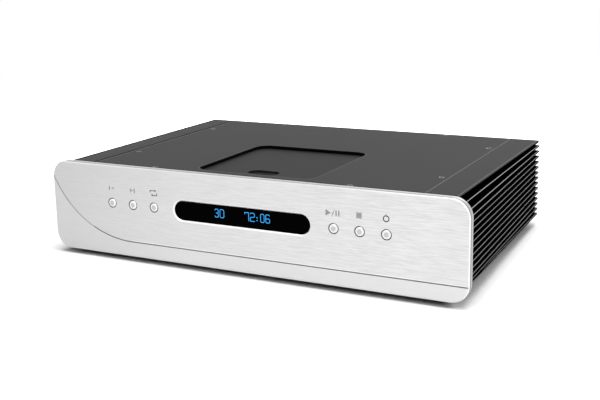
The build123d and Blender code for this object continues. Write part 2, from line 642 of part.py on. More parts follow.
with BuildPart() as mechanism_deck:
    with BuildSketch(level(DECK_BOTTOM)):
        with Locations(((DECK_LEFT + DECK_RIGHT) / 2, DISC_Y)):
            RectangleRounded(DECK_RIGHT - DECK_LEFT, 2 * DECK_HALF_DEPTH, DECK_CORNER_R)
        with Locations((0, DISC_Y), (PINION_X, WHEEL_Y)):
            Circle(SHAFT_R + DECK_HOLE_ROOM, mode=Mode.SUBTRACT)
    extrude(amount=DECK_THICKNESS)
    for rod_y in (DISC_Y - ROD_OFFSET, DISC_Y + ROD_OFFSET):
        for end_x in (ROD_INNER_X, ROD_OUTER_X - BRACKET_LENGTH):
            with BuildSketch(level(DECK_LEVEL)):
                with Locations((end_x, rod_y)):
                    Rectangle(BRACKET_LENGTH, BRACKET_WIDTH, align=(Align.MIN, Align.CENTER))
            extrude(amount=ROD_LEVEL + ROD_R - DECK_LEVEL + BLOCK_ROOM)
    with BuildSketch(Plane.YZ.offset(ROD_INNER_X)):
        with Locations(*[(DISC_Y + side * ROD_OFFSET, ROD_LEVEL - ROD_R) for side in (-1, 1)]):
            Rectangle(2 * ROD_R, 3 * ROD_R, align=(Align.CENTER, Align.MIN))
    extrude(amount=ROD_OUTER_X - ROD_INNER_X, mode=Mode.SUBTRACT)
    with BuildSketch(level(DECK_LEVEL)):
        with Locations((WHEEL_X, WHEEL_Y)):
            Circle(SHAFT_R)
    extrude(amount=SLED_TOP - DECK_LEVEL + BLOCK_ROOM)
save(mechanism_deck, "mechanism_deck")

with BuildPart() as mechanism_posts:
    with BuildSketch(level(FLOOR_LEVEL)):
        with Locations(*POST_SPOTS):
            RegularPolygon(POST_HALF, HEX_SIDE_COUNT, major_radius=False)
    extrude(amount=DECK_BOTTOM - DAMPER_HEIGHT - FLOOR_LEVEL)
save(mechanism_posts, "mechanism_posts")

with BuildPart() as damper_pads:
    with BuildSketch(level(DECK_BOTTOM - DAMPER_HEIGHT)):
        with Locations(*POST_SPOTS):
            Rectangle(DAMPER_SIZE, DAMPER_SIZE)
    extrude(amount=DAMPER_HEIGHT)
save(damper_pads, "damper_pads")


# ---- Motors under the deck: the spindle's is a round can, the sled's is a small square one ----
with BuildPart() as spindle_motor:
    with BuildSketch(level(DECK_BOTTOM)):
        with Locations((0, DISC_Y)):
            Circle(SPINDLE_MOTOR_R)
    extrude(amount=-SPINDLE_MOTOR_HEIGHT)
    with BuildSketch(level(DECK_BOTTOM)):
        with Locations((0, DISC_Y)):
            Circle(SHAFT_R + SHAFT_CLEARANCE)
    extrude(amount=-SHAFT_SEAT, mode=Mode.SUBTRACT)
save(spindle_motor, "spindle_motor")

with BuildPart() as sled_motor:
    with BuildSketch(level(DECK_BOTTOM)):
        with Locations((PINION_X, WHEEL_Y)):
            Rectangle(SLED_MOTOR_LENGTH, SLED_MOTOR_WIDTH)
            Circle(SHAFT_R + SHAFT_CLEARANCE, mode=Mode.SUBTRACT)
    extrude(amount=-SHAFT_SEAT)
    with BuildSketch(level(DECK_BOTTOM - SHAFT_SEAT)):
        with Locations((PINION_X, WHEEL_Y)):
            Rectangle(SLED_MOTOR_LENGTH, SLED_MOTOR_WIDTH)
    extrude(amount=-(SLED_MOTOR_HEIGHT - SHAFT_SEAT))
save(sled_motor, "sled_motor")

# ---- Turntable: shaft, platter and a boss with three radial bores for the claws ----
CLAW_LEVEL = DISC_LEVEL + DISC_THICKNESS + CLAW_ABOVE_DISC
CLAW_TIP_R = HUB_BOSS_R + CLAW_PROUD
CLAW_ANGLES = (90, 210, 330)


def claw_plane(angle):
    """Upright, in the turntable's axis, with its x axis up and its normal along the claw."""
    outwards = (math.cos(math.radians(angle)), math.sin(math.radians(angle)), 0)
    return Plane(origin=(0, DISC_Y, CLAW_LEVEL), x_dir=(0, 0, 1), z_dir=outwards)


with BuildPart() as turntable:
    with BuildSketch(standing_on(0, DISC_Y)):
        with BuildLine():
            Polyline(
                (0, DECK_BOTTOM - SHAFT_SEAT + SHAFT_END_ROOM),
                (SHAFT_R, DECK_BOTTOM - SHAFT_SEAT + SHAFT_END_ROOM),
                (SHAFT_R, DISC_LEVEL - PLATTER_THICKNESS), (PLATTER_R, DISC_LEVEL - PLATTER_THICKNESS),
                (PLATTER_R, DISC_LEVEL), (HUB_BOSS_R, DISC_LEVEL),
                (HUB_BOSS_R, DISC_LEVEL + HUB_BOSS_HEIGHT), (0, DISC_LEVEL + HUB_BOSS_HEIGHT),
                close=True,
            )
        make_face()
    revolve(axis=upright_axis(0, DISC_Y))
    for angle in CLAW_ANGLES:
        with BuildSketch(claw_plane(angle).offset(CLAW_TIP_R - CLAW_LENGTH - CLAW_TRAVEL - CLAW_CLEARANCE)):
            Rectangle(CLAW_HEIGHT + 2 * CLAW_CLEARANCE, CLAW_WIDTH + 2 * CLAW_CLEARANCE)
        extrude(amount=HUB_BOSS_R, mode=Mode.SUBTRACT)
save(turntable, "turntable")


def claw(angle):
    """A sprung tongue with a bevelled nose, which holds the disc down by the edge of its hole."""
    middle = claw_plane(angle)
    tail = CLAW_TIP_R - CLAW_LENGTH
    beside = Plane(origin=middle.origin, x_dir=middle.z_dir, z_dir=middle.y_dir)
    with BuildPart() as tongue:
        with BuildSketch(beside):
            with BuildLine():
                Polyline(
                    (tail, -CLAW_HEIGHT / 2), (CLAW_TIP_R - CLAW_NOSE, -CLAW_HEIGHT / 2),
                    (CLAW_TIP_R, -CLAW_NOSE_HEIGHT / 2), (CLAW_TIP_R, CLAW_NOSE_HEIGHT / 2),
                    (CLAW_TIP_R - CLAW_NOSE, CLAW_HEIGHT / 2), (tail, CLAW_HEIGHT / 2), close=True,
                )
            make_face()
        extrude(amount=CLAW_WIDTH / 2, both=True)
    return tongue


for claw_index, claw_angle in enumerate(CLAW_ANGLES, start=1):
    save(claw(claw_angle), f"clamp_claw_{claw_index}")

# ---- Guide rods ----
with BuildPart() as guide_rods:
    with BuildSketch(Plane.YZ.offset(ROD_INNER_X)):
        with Locations(*[(DISC_Y + side * ROD_OFFSET, ROD_LEVEL) for side in (-1, 1)]):
            Circle(ROD_R)
    extrude(amount=ROD_OUTER_X - ROD_INNER_X)
save(guide_rods, "guide_rods")

# ---- Laser sled: a carriage on the rods, with a rack along its rear side ----
RACK_PITCH = math.pi * GEAR_MODULE
RACK_START = LENS_INNER - (RACK_TEETH // 2) * RACK_PITCH
# A gap of the rack faces the sled gear's first tooth when the sled is at the first track.
RACK_PHASE = (WHEEL_X - RACK_START) % RACK_PITCH
with BuildPart() as laser_sled:
    with BuildSketch(level(SLED_BOTTOM)):
        with Locations((LENS_INNER, DISC_Y)):
            Rectangle(SLED_LENGTH, SLED_WIDTH)
    extrude(amount=SLED_THICKNESS)
    with BuildSketch(level(SLED_TOP)):
        with Locations((LENS_INNER, DISC_Y)):
            Rectangle(LENS_BASE + 2 * LENS_GAP, LENS_BASE + 2 * LENS_GAP)
    extrude(amount=-LENS_BASE_THICKNESS, mode=Mode.SUBTRACT)
    with BuildSketch(Plane.YZ.offset(LENS_INNER - SLED_LENGTH / 2)):
        with Locations((DISC_Y + ROD_OFFSET, ROD_LEVEL)):
            Circle(ROD_R + ROD_CLEARANCE)
        with Locations((DISC_Y - SLED_WIDTH / 2, ROD_LEVEL)):
            Rectangle(
                SLED_WIDTH / 2 - ROD_OFFSET + 2 * ROD_R, 2 * (ROD_R + ROD_CLEARANCE),
                align=(Align.MIN, Align.CENTER),
            )
    extrude(amount=SLED_LENGTH, mode=Mode.SUBTRACT)
    with BuildSketch(level(SLED_BOTTOM)):
        with Locations((RACK_START, DISC_Y + SLED_WIDTH / 2)):
            Rectangle(RACK_TEETH * RACK_PITCH, RACK_DEPTH, align=(Align.MIN, Align.MIN))
        for i in range(RACK_TEETH - 1):
            tooth_x = RACK_START + RACK_PHASE + RACK_PITCH / 2 + i * RACK_PITCH
            half = (RACK_PITCH / 2 - BACKLASH) / 2
            slant = math.tan(math.radians(PRESSURE_ANGLE))
            root = -DEDENDUM * GEAR_MODULE
            tip = ADDENDUM * GEAR_MODULE
            with BuildLine():
                Polyline(
                    (tooth_x - half + root * slant, RACK_LINE + root),
                    (tooth_x - half + tip * slant, RACK_LINE + tip),
                    (tooth_x + half - tip * slant, RACK_LINE + tip),
                    (tooth_x + half - root * slant, RACK_LINE + root),
                    close=True,
                )
            make_face()
    extrude(amount=SLED_THICKNESS - RACK_RISE)
save(laser_sled, "laser_sled")


# ---- Objective lens: a square base in the sled's pocket and the lens on top ----
LENS_TOP = DISC_LEVEL - LENS_BELOW_DISC
with BuildPart() as objective_lens:
    lens_base = SLED_TOP - LENS_BASE_THICKNESS + LENS_GAP + LENS_FLOAT
    with BuildSketch(level(lens_base)):
        with Locations((LENS_INNER, DISC_Y)):
            Rectangle(LENS_BASE, LENS_BASE)
    extrude(amount=LENS_BASE_THICKNESS)
    with BuildSketch(level(lens_base)):
        with Locations((LENS_INNER, DISC_Y)):
            Circle(LENS_R)
    extrude(amount=LENS_TOP - lens_base)
save(objective_lens, "objective_lens")


# ---- Gears with involute teeth ----
def involute_gear(x, y, teeth, first_angle):
    """A sketch of a gear whose first tooth points at first_angle, in degrees from +X."""
    pitch_r = GEAR_MODULE * teeth / 2
    base_r = pitch_r * math.cos(math.radians(PRESSURE_ANGLE))
    tip_r = pitch_r + ADDENDUM * GEAR_MODULE
    root_r = pitch_r - DEDENDUM * GEAR_MODULE
    involute_at_pitch = math.tan(math.radians(PRESSURE_ANGLE)) - math.radians(PRESSURE_ANGLE)
    half_tooth = (math.pi * GEAR_MODULE / 2 - BACKLASH) / (2 * pitch_r)

    def flank(radius):
        """Half of the tooth's angle at a radius."""
        if radius <= base_r:
            return half_tooth + involute_at_pitch
        roll = math.acos(base_r / radius)
        return half_tooth + involute_at_pitch - (math.tan(roll) - roll)

    start_r = max(base_r, root_r)
    radii = [start_r, tip_r]
    outline = []
    for i in range(teeth):
        middle = math.radians(first_angle) + 2 * math.pi * i / teeth
        side = [(radius, flank(radius)) for radius in radii]
        if root_r < base_r:
            side.insert(0, (root_r, flank(root_r)))
        points = [(radius, middle - half) for radius, half in side]
        points += [(radius, middle + half) for radius, half in reversed(side)]
        outline += [(x + radius * math.cos(a), y + radius * math.sin(a)) for radius, a in points]
    with BuildSketch() as gear:
        with BuildLine():
            Polyline(*outline, close=True)
        make_face()
    return gear.sketch


WHEEL_TOP = WHEEL_BOTTOM + WHEEL_THICKNESS
TOOTH_BOTTOM = -90.0         # the small gear's first tooth points at the rack
wheel_first = 180.0          # the wheel's first tooth points at the pinion
with BuildPart() as sled_gear:
    wheel = involute_gear(WHEEL_X, WHEEL_Y, WHEEL_TEETH, wheel_first)
    extrude(wheel.moved(Location((0, 0, WHEEL_BOTTOM))), amount=WHEEL_THICKNESS)
    small_gear = involute_gear(WHEEL_X, WHEEL_Y, SMALL_GEAR_TEETH, TOOTH_BOTTOM)
    extrude(small_gear.moved(Location((0, 0, WHEEL_TOP))),
            amount=SLED_BOTTOM + SLED_THICKNESS - RACK_RISE - WHEEL_TOP)
    with BuildSketch(level(WHEEL_BOTTOM)):
        with Locations((WHEEL_X, WHEEL_Y)):
            Circle(SHAFT_R + SHAFT_CLEARANCE)
    extrude(amount=SLED_THICKNESS * 3, mode=Mode.SUBTRACT)
save(sled_gear, "sled_gear")

with BuildPart() as motor_pinion:
    extrude(involute_gear(PINION_X, WHEEL_Y, PINION_TEETH, 180.0 / PINION_TEETH).moved(
        Location((0, 0, WHEEL_BOTTOM))), amount=WHEEL_THICKNESS)
    with BuildSketch(level(WHEEL_TOP)):
        with Locations((PINION_X, WHEEL_Y)):
            Circle(SHAFT_R)
    extrude(amount=-(WHEEL_TOP - DECK_BOTTOM + SHAFT_SEAT - SHAFT_END_ROOM))
save(motor_pinion, "motor_pinion")

# ---- Control board behind the sub-panel, with the display tube and the tact switches ----
with BuildPart() as control_board:
    with BuildSketch(facing(CONTROL_BOARD_DEPTH + BOARD_THICKNESS)):
        with Locations((0, CONTROL_LEVEL)):
            Rectangle(CONTROL_BOARD_WIDTH, CONTROL_BOARD_HEIGHT)
    extrude(amount=BOARD_THICKNESS)
save(control_board, "control_board")

with BuildPart() as tact_switches:
    with BuildSketch(facing(CONTROL_BOARD_DEPTH)):
        with Locations(*[(x, CONTROL_LEVEL) for x in BUTTON_XS]):
            Rectangle(TACT_BODY, TACT_BODY)
    extrude(amount=TACT_HEIGHT)
    with BuildSketch(facing(CONTROL_BOARD_DEPTH - BOARD_RELIEF)):
        with Locations(*[(x, CONTROL_LEVEL) for x in BUTTON_XS]):
            Rectangle(TACT_BORE, TACT_BORE)
    extrude(amount=TACT_HEIGHT, mode=Mode.SUBTRACT)
save(tact_switches, "tact_switches")

with BuildPart() as display_tube:
    with BuildSketch(facing(CONTROL_BOARD_DEPTH)):
        with Locations((0, CONTROL_LEVEL)):
            Rectangle(TUBE_WIDTH, TUBE_HEIGHT)
    extrude(amount=TUBE_THICKNESS)
    chamfer(display_tube.faces().sort_by(Axis.Y)[0].edges(), TUBE_EDGE)
save(display_tube, "display_tube")

# ---- Main board, power board and what stands on them ----
BOARD_BOTTOM = FLOOR_LEVEL + BOARD_LIFT
BOARD_TOP = BOARD_BOTTOM + BOARD_THICKNESS
BOARD_X = BOARD_INNER_X + BOARD_WIDTH / 2


MAIN_BOARD_REAR = REAR_INSIDE - FOLD_LENGTH - SPACER_ROOM + BOARD_HOLE_INSET
MAIN_BOARD_Y = FACE_Y + MAIN_BOARD_REAR - MAIN_BOARD_LENGTH / 2
POWER_BOARD_Y = FACE_Y + TOROID_DEPTH + TOROID_R + TOROID_GAP + POWER_BOARD_LENGTH / 2


def board(x, y, length):
    with BuildPart() as sheet:
        with BuildSketch(level(BOARD_BOTTOM)):
            with Locations((x, y)):
                Rectangle(BOARD_WIDTH, length)
        extrude(amount=BOARD_THICKNESS)
    return sheet


save(board(-BOARD_X, MAIN_BOARD_Y, MAIN_BOARD_LENGTH), "main_board")
save(board(BOARD_X, POWER_BOARD_Y, POWER_BOARD_LENGTH), "power_board")

with BuildPart() as board_spacers:
    with BuildSketch(facing(CONTROL_BOARD_DEPTH)):
        with Locations((0, CONTROL_LEVEL)):
            with GridLocations(SPACER_SPAN_X, SPACER_SPAN_Z, 2, 2):
                RegularPolygon(SPACER_HALF, HEX_SIDE_COUNT, major_radius=False)
    extrude(amount=CONTROL_BOARD_DEPTH - SUB_PANEL_REAR)
    for board_x, board_y, board_length in (
        (-BOARD_X, MAIN_BOARD_Y, MAIN_BOARD_LENGTH), (BOARD_X, POWER_BOARD_Y, POWER_BOARD_LENGTH)
    ):
        with BuildSketch(level(FLOOR_LEVEL)):
            with Locations((board_x, board_y)):
                with GridLocations(
                    BOARD_WIDTH - 2 * BOARD_HOLE_INSET, board_length - 2 * BOARD_HOLE_INSET, 2, 2
                ):
                    RegularPolygon(SPACER_HALF, HEX_SIDE_COUNT, major_radius=False)
        extrude(amount=BOARD_LIFT)
save(board_spacers, "board_spacers")

with BuildPart() as board_chips:
    with BuildSketch(level(BOARD_TOP)):
        with Locations((-BOARD_X, MAIN_BOARD_Y)):
            Rectangle(CHIP, CHIP)
        with Locations((-BOARD_X, MAIN_BOARD_Y)):
            with GridLocations(CHIP_PITCH_X, CHIP_PITCH_Y, 2, 2):
                Rectangle(SMALL_CHIP_LENGTH, SMALL_CHIP_WIDTH)
    extrude(amount=CHIP_HEIGHT)
save(board_chips, "board_chips")

with BuildPart() as filter_capacitors:
    with BuildSketch(level(BOARD_TOP)):
        with Locations((BOARD_X + CAPACITOR_OFFSET_X, POWER_BOARD_Y + CAPACITOR_OFFSET_Y)):
            with GridLocations(2 * CAPACITOR_R + CAPACITOR_GAP, 0, 2, 1):
                Circle(CAPACITOR_R)
    extrude(amount=CAPACITOR_HEIGHT)
save(filter_capacitors, "filter_capacitors")

with BuildPart() as heat_sink:
    with BuildSketch(level(BOARD_TOP)):
        with Locations((BOARD_X, POWER_BOARD_Y + HEAT_SINK_OFFSET_Y)):
            Rectangle(HEAT_SINK_LENGTH, 3)
            with GridLocations(HEAT_SINK_LENGTH / 8, 0, 8, 1):
                Rectangle(SINK_FIN_THICKNESS, SINK_FIN_LENGTH)
    extrude(amount=HEAT_SINK_HEIGHT)
save(heat_sink, "heat_sink")

# ---- Toroidal transformer on the base plate, held by a dished clamp and one bolt ----
TOROID_Y = FACE_Y + TOROID_DEPTH
with BuildPart() as toroid:
    with BuildSketch(level(FLOOR_LEVEL)):
        with Locations((TOROID_X, TOROID_Y)):
            RegularPolygon(TOROID_R, TOROID_SIDE_COUNT)
            RegularPolygon(TOROID_BORE_R, TOROID_SIDE_COUNT, mode=Mode.SUBTRACT)
    extrude(amount=TOROID_HEIGHT)
save(toroid, "toroid")

CLAMP_TOP = FLOOR_LEVEL + TOROID_HEIGHT + CLAMP_THICKNESS
with BuildPart() as toroid_clamp:
    with BuildSketch(level(FLOOR_LEVEL + TOROID_HEIGHT)):
        with Locations((TOROID_X, TOROID_Y)):
            Rectangle(1.5 * TOROID_R, CLAMP_WIDTH)
    extrude(amount=CLAMP_THICKNESS)
    with BuildSketch(level(FLOOR_LEVEL)):
        with Locations((TOROID_X, TOROID_Y)):
            Circle(CLAMP_BOLT_R)
    extrude(amount=TOROID_HEIGHT)
    with BuildSketch(level(CLAMP_TOP)):
        with Locations((TOROID_X, TOROID_Y)):
            RegularPolygon(CLAMP_NUT_HALF, HEX_SIDE_COUNT, major_radius=False)
    extrude(amount=CLAMP_NUT_HEIGHT)
save(toroid_clamp, "toroid_clamp")

# ---- Rear panel with its sockets ----
SOCKET_HOLE_R = COLLAR_R + JACK_ROOM
PHONO_SPOTS = [(x, SOCKET_LEVEL) for x in (LEFT_OUTPUT_X, RIGHT_OUTPUT_X, COAXIAL_X)]
SWITCH_BODY_WIDTH = ROCKER_WIDTH + 2 * (ROCKER_GAP + SWITCH_WALL)
SWITCH_CAVITY_HALF = ROCKER_HALF_HEIGHT + SWITCH_ROOM
SWITCH_BODY_HEIGHT = 2 * (SWITCH_CAVITY_HALF + SWITCH_WALL)
with BuildPart() as rear_panel:
    add(folded_plate(REAR_INSIDE, REAR_INSIDE - FOLD_LENGTH).part)
    with BuildSketch(facing(BODY_DEPTH)):
        with Locations(*PHONO_SPOTS):
            Circle(SOCKET_HOLE_R)
        with Locations((OPTICAL_X, SOCKET_LEVEL)):
            Rectangle(OPTICAL_SIZE + 2 * WINDOW_FIT, OPTICAL_SIZE + 2 * WINDOW_FIT)
        with Locations((INLET_X, SOCKET_LEVEL)):
            Rectangle(INLET_BODY_WIDTH + 2 * WINDOW_FIT, INLET_BODY_HEIGHT + 2 * WINDOW_FIT)
        with Locations((SWITCH_X, SOCKET_LEVEL)):
            Rectangle(SWITCH_BODY_WIDTH + 2 * WINDOW_FIT, SWITCH_BODY_HEIGHT + 2 * WINDOW_FIT)
    extrude(amount=SHEET, mode=Mode.SUBTRACT)
save(rear_panel, "rear_panel")


def phono_socket(x):
    """A square body behind the rear panel, a collar through it and a barrel with the contact's bore."""
    with BuildPart() as socket:
        with BuildSketch(facing(REAR_INSIDE)):
            with Locations((x, SOCKET_LEVEL)):
                Rectangle(SOCKET_BODY, SOCKET_BODY)
        extrude(amount=SOCKET_BODY)
        with BuildSketch(facing(BODY_DEPTH + COLLAR_REACH)):
            with Locations((x, SOCKET_LEVEL)):
                Circle(COLLAR_R)
        extrude(amount=COLLAR_REACH + SHEET)
        with BuildSketch(facing(BODY_DEPTH + JACK_REACH)):
            with Locations((x, SOCKET_LEVEL)):
                Circle(JACK_R)
                Circle(SOCKET_PIN_HOLE_R, mode=Mode.SUBTRACT)
        extrude(amount=JACK_REACH - COLLAR_REACH)
    return socket


save(phono_socket(LEFT_OUTPUT_X), "output_socket_left")
save(phono_socket(RIGHT_OUTPUT_X), "output_socket_right")
save(phono_socket(COAXIAL_X), "coaxial_socket")

with BuildPart() as optical_socket:
    with BuildSketch(facing(BODY_DEPTH)):
        with Locations((OPTICAL_X, SOCKET_LEVEL)):
            Rectangle(OPTICAL_SIZE, OPTICAL_SIZE)
    extrude(amount=OPTICAL_BODY)
    with BuildSketch(facing(BODY_DEPTH + OPTICAL_REACH)):
        with Locations((OPTICAL_X, SOCKET_LEVEL)):
            Rectangle(OPTICAL_SIZE + 2 * OPTICAL_RIM, OPTICAL_SIZE + 2 * OPTICAL_RIM)
    extrude(amount=OPTICAL_REACH)
    with BuildSketch(facing(BODY_DEPTH + OPTICAL_REACH)):
        with Locations((OPTICAL_X, SOCKET_LEVEL)):
            Rectangle(OPTICAL_SIZE - 2 * OPTICAL_WALL, OPTICAL_SIZE - 2 * OPTICAL_WALL)
    extrude(amount=OPTICAL_CAVITY, mode=Mode.SUBTRACT)
save(optical_socket, "optical_socket")

with BuildPart() as mains_inlet:
    with BuildSketch(facing(BODY_DEPTH + INLET_FLANGE_THICKNESS)):
        with Locations((INLET_X, SOCKET_LEVEL)):
            RectangleRounded(INLET_FLANGE_WIDTH, INLET_FLANGE_HEIGHT, INLET_CORNER_R)
    extrude(amount=INLET_FLANGE_THICKNESS)
    with BuildSketch(facing(BODY_DEPTH)):
        with Locations((INLET_X, SOCKET_LEVEL)):
            Rectangle(INLET_BODY_WIDTH, INLET_BODY_HEIGHT)
    extrude(amount=INLET_REACH_IN)
    with BuildSketch(facing(BODY_DEPTH + INLET_FLANGE_THICKNESS)):
        with Locations((INLET_X, SOCKET_LEVEL)):
            Rectangle(INLET_CAVITY_WIDTH, INLET_CAVITY_HEIGHT)
    extrude(amount=INLET_CAVITY_DEPTH, mode=Mode.SUBTRACT)
    with BuildSketch(facing(BODY_DEPTH - INLET_PIN_BACK)):
        with Locations(*[
            (INLET_X + side * INLET_PIN_X, SOCKET_LEVEL - INLET_PIN_DROP) for side in (-1, 1)
        ]):
            Rectangle(INLET_PIN_WIDTH, INLET_PIN_HEIGHT)
        with Locations((INLET_X, SOCKET_LEVEL + INLET_EARTH_RISE)):
            Rectangle(INLET_PIN_WIDTH, INLET_PIN_HEIGHT)
    extrude(amount=INLET_CAVITY_DEPTH)
save(mains_inlet, "mains_inlet")

# ---- Mains switch: a frame in the rear panel and a rocker on trunnions ----
PIVOT_DEPTH = BODY_DEPTH - ROCKER_PIVOT_IN
with BuildPart() as switch_frame:
    with BuildSketch(facing(BODY_DEPTH + SWITCH_BEZEL_THICKNESS)):
        with Locations((SWITCH_X, SOCKET_LEVEL)):
            Rectangle(SWITCH_BODY_WIDTH + 2 * SWITCH_BEZEL, SWITCH_BODY_HEIGHT + 2 * SWITCH_BEZEL)
    extrude(amount=SWITCH_BEZEL_THICKNESS)
    with BuildSketch(facing(BODY_DEPTH)):
        with Locations((SWITCH_X, SOCKET_LEVEL)):
            Rectangle(SWITCH_BODY_WIDTH, SWITCH_BODY_HEIGHT)
    extrude(amount=SWITCH_REACH_IN)
    with BuildSketch(facing(BODY_DEPTH + SWITCH_BEZEL_THICKNESS)):
        with Locations((SWITCH_X, SOCKET_LEVEL)):
            Rectangle(ROCKER_WIDTH + 2 * ROCKER_GAP, 2 * SWITCH_CAVITY_HALF)
    extrude(amount=SWITCH_REACH_IN, mode=Mode.SUBTRACT)
    with BuildSketch(Plane.YZ.offset(SWITCH_X - SWITCH_BODY_WIDTH / 2)):
        with Locations((FACE_Y + PIVOT_DEPTH, SOCKET_LEVEL)):
            Circle(TRUNNION_R + SHAFT_CLEARANCE)
    extrude(amount=SWITCH_BODY_WIDTH, mode=Mode.SUBTRACT)
save(switch_frame, "switch_frame")

rocker_tilt = math.radians(-ROCKER_TILT)
ROCKER_PLANE = Plane(
    origin=(SWITCH_X, FACE_Y + PIVOT_DEPTH, SOCKET_LEVEL),
    x_dir=(0, math.cos(rocker_tilt), math.sin(rocker_tilt)),
    z_dir=(1, 0, 0),
)
with BuildPart() as mains_rocker:
    with BuildSketch(ROCKER_PLANE):
        with BuildLine():
            Polyline(
                (ROCKER_CROWN, -ROCKER_HALF_HEIGHT), (ROCKER_DISH, 0), (ROCKER_CROWN, ROCKER_HALF_HEIGHT),
                (-ROCKER_SKIRT, ROCKER_HALF_HEIGHT), (-ROCKER_BACK, ROCKER_BACK_HALF),
                (-ROCKER_BACK, -ROCKER_BACK_HALF), (-ROCKER_SKIRT, -ROCKER_HALF_HEIGHT), close=True,
            )
        make_face()
    extrude(amount=ROCKER_WIDTH / 2, both=True)
    with BuildSketch(ROCKER_PLANE):
        Circle(TRUNNION_R)
    extrude(amount=ROCKER_WIDTH / 2 + ROCKER_GAP + SWITCH_WALL - FIT_GAP, both=True)
save(mains_rocker, "mains_rocker")
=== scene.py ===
"""Looks for the top-loading disc player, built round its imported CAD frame.

Metres, +Z up, the front looks along -Y.
"""
import bpy
import bmesh
import json
import math
from mathutils import Vector, Matrix


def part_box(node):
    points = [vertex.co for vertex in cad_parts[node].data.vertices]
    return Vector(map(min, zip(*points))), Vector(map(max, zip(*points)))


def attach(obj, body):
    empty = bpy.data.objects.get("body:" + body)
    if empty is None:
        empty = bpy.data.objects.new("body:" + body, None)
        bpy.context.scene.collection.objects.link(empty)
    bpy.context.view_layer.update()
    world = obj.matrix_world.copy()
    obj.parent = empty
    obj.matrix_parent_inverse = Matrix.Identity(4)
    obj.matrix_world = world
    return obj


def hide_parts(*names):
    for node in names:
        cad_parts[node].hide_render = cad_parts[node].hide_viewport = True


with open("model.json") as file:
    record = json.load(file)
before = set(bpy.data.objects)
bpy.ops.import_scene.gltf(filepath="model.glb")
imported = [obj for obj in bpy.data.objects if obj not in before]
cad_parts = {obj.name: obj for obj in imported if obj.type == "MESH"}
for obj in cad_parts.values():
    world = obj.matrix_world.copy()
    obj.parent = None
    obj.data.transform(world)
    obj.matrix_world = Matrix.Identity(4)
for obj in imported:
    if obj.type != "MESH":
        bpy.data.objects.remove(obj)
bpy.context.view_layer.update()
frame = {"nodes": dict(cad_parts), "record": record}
NODES = frame["nodes"]

# ------------------------------------------------------------------ places, from the CAD nodes
PANEL_LO, PANEL_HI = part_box("front_panel")
FACE = PANEL_LO.y                      # the panel's front face
LIFT = PANEL_LO.z                      # its lower edge above the floor
COVER_LO, COVER_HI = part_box("top_cover")
TOP = COVER_HI.z
LID_LO, LID_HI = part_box("lid")
WALL_LO, WALL_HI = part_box("side_wall_right")
REAR_LO, REAR_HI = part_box("rear_panel")
HUB_LO, HUB_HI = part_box("turntable")
LENS_LO, LENS_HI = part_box("objective_lens")
BASE_LO, BASE_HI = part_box("base_plate")
BODY_REAR = WALL_HI.y
REAR = REAR_HI.y
INLET_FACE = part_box("mains_inlet")[1].y
WINDOW_LO, WINDOW_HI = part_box("display_window")
PANE = WINDOW_LO.y
CONTROL_Z = (WINDOW_LO.z + WINDOW_HI.z) / 2
BUTTONS = ("button_previous", "button_next", "button_repeat", "button_play", "button_stop", "button_power")

# ------------------------------------------------------------------ sizes that the solids have too
PANEL_R = 0.017
GROOVE_Z = LIFT + 0.0153
BEND_X, BEND_R = -0.1245, 0.104        # where the groove turns upwards, and its radius
WINDOW_WIDTH, WINDOW_HEIGHT = 0.145, 0.019
OPEN_W, OPEN_L, OPEN_R = 0.1276, 0.1351, 0.0145
OPEN_Y = FACE + 0.0243 + OPEN_L / 2    # middle of the lid's opening
NOTCH_WIDTH, NOTCH_LENGTH, NOTCH_SINK = 0.032, 0.017, 0.0022
NOTCH_Y = LID_LO.y + 0.0187 + NOTCH_LENGTH / 2
SEAM = 0.1765                          # middle of the case to the seam at the side
FLANGE_TIP = SEAM + 0.0294
PROUD = 0.00002                        # painted highlight and shade lines lie this far above the metal under them
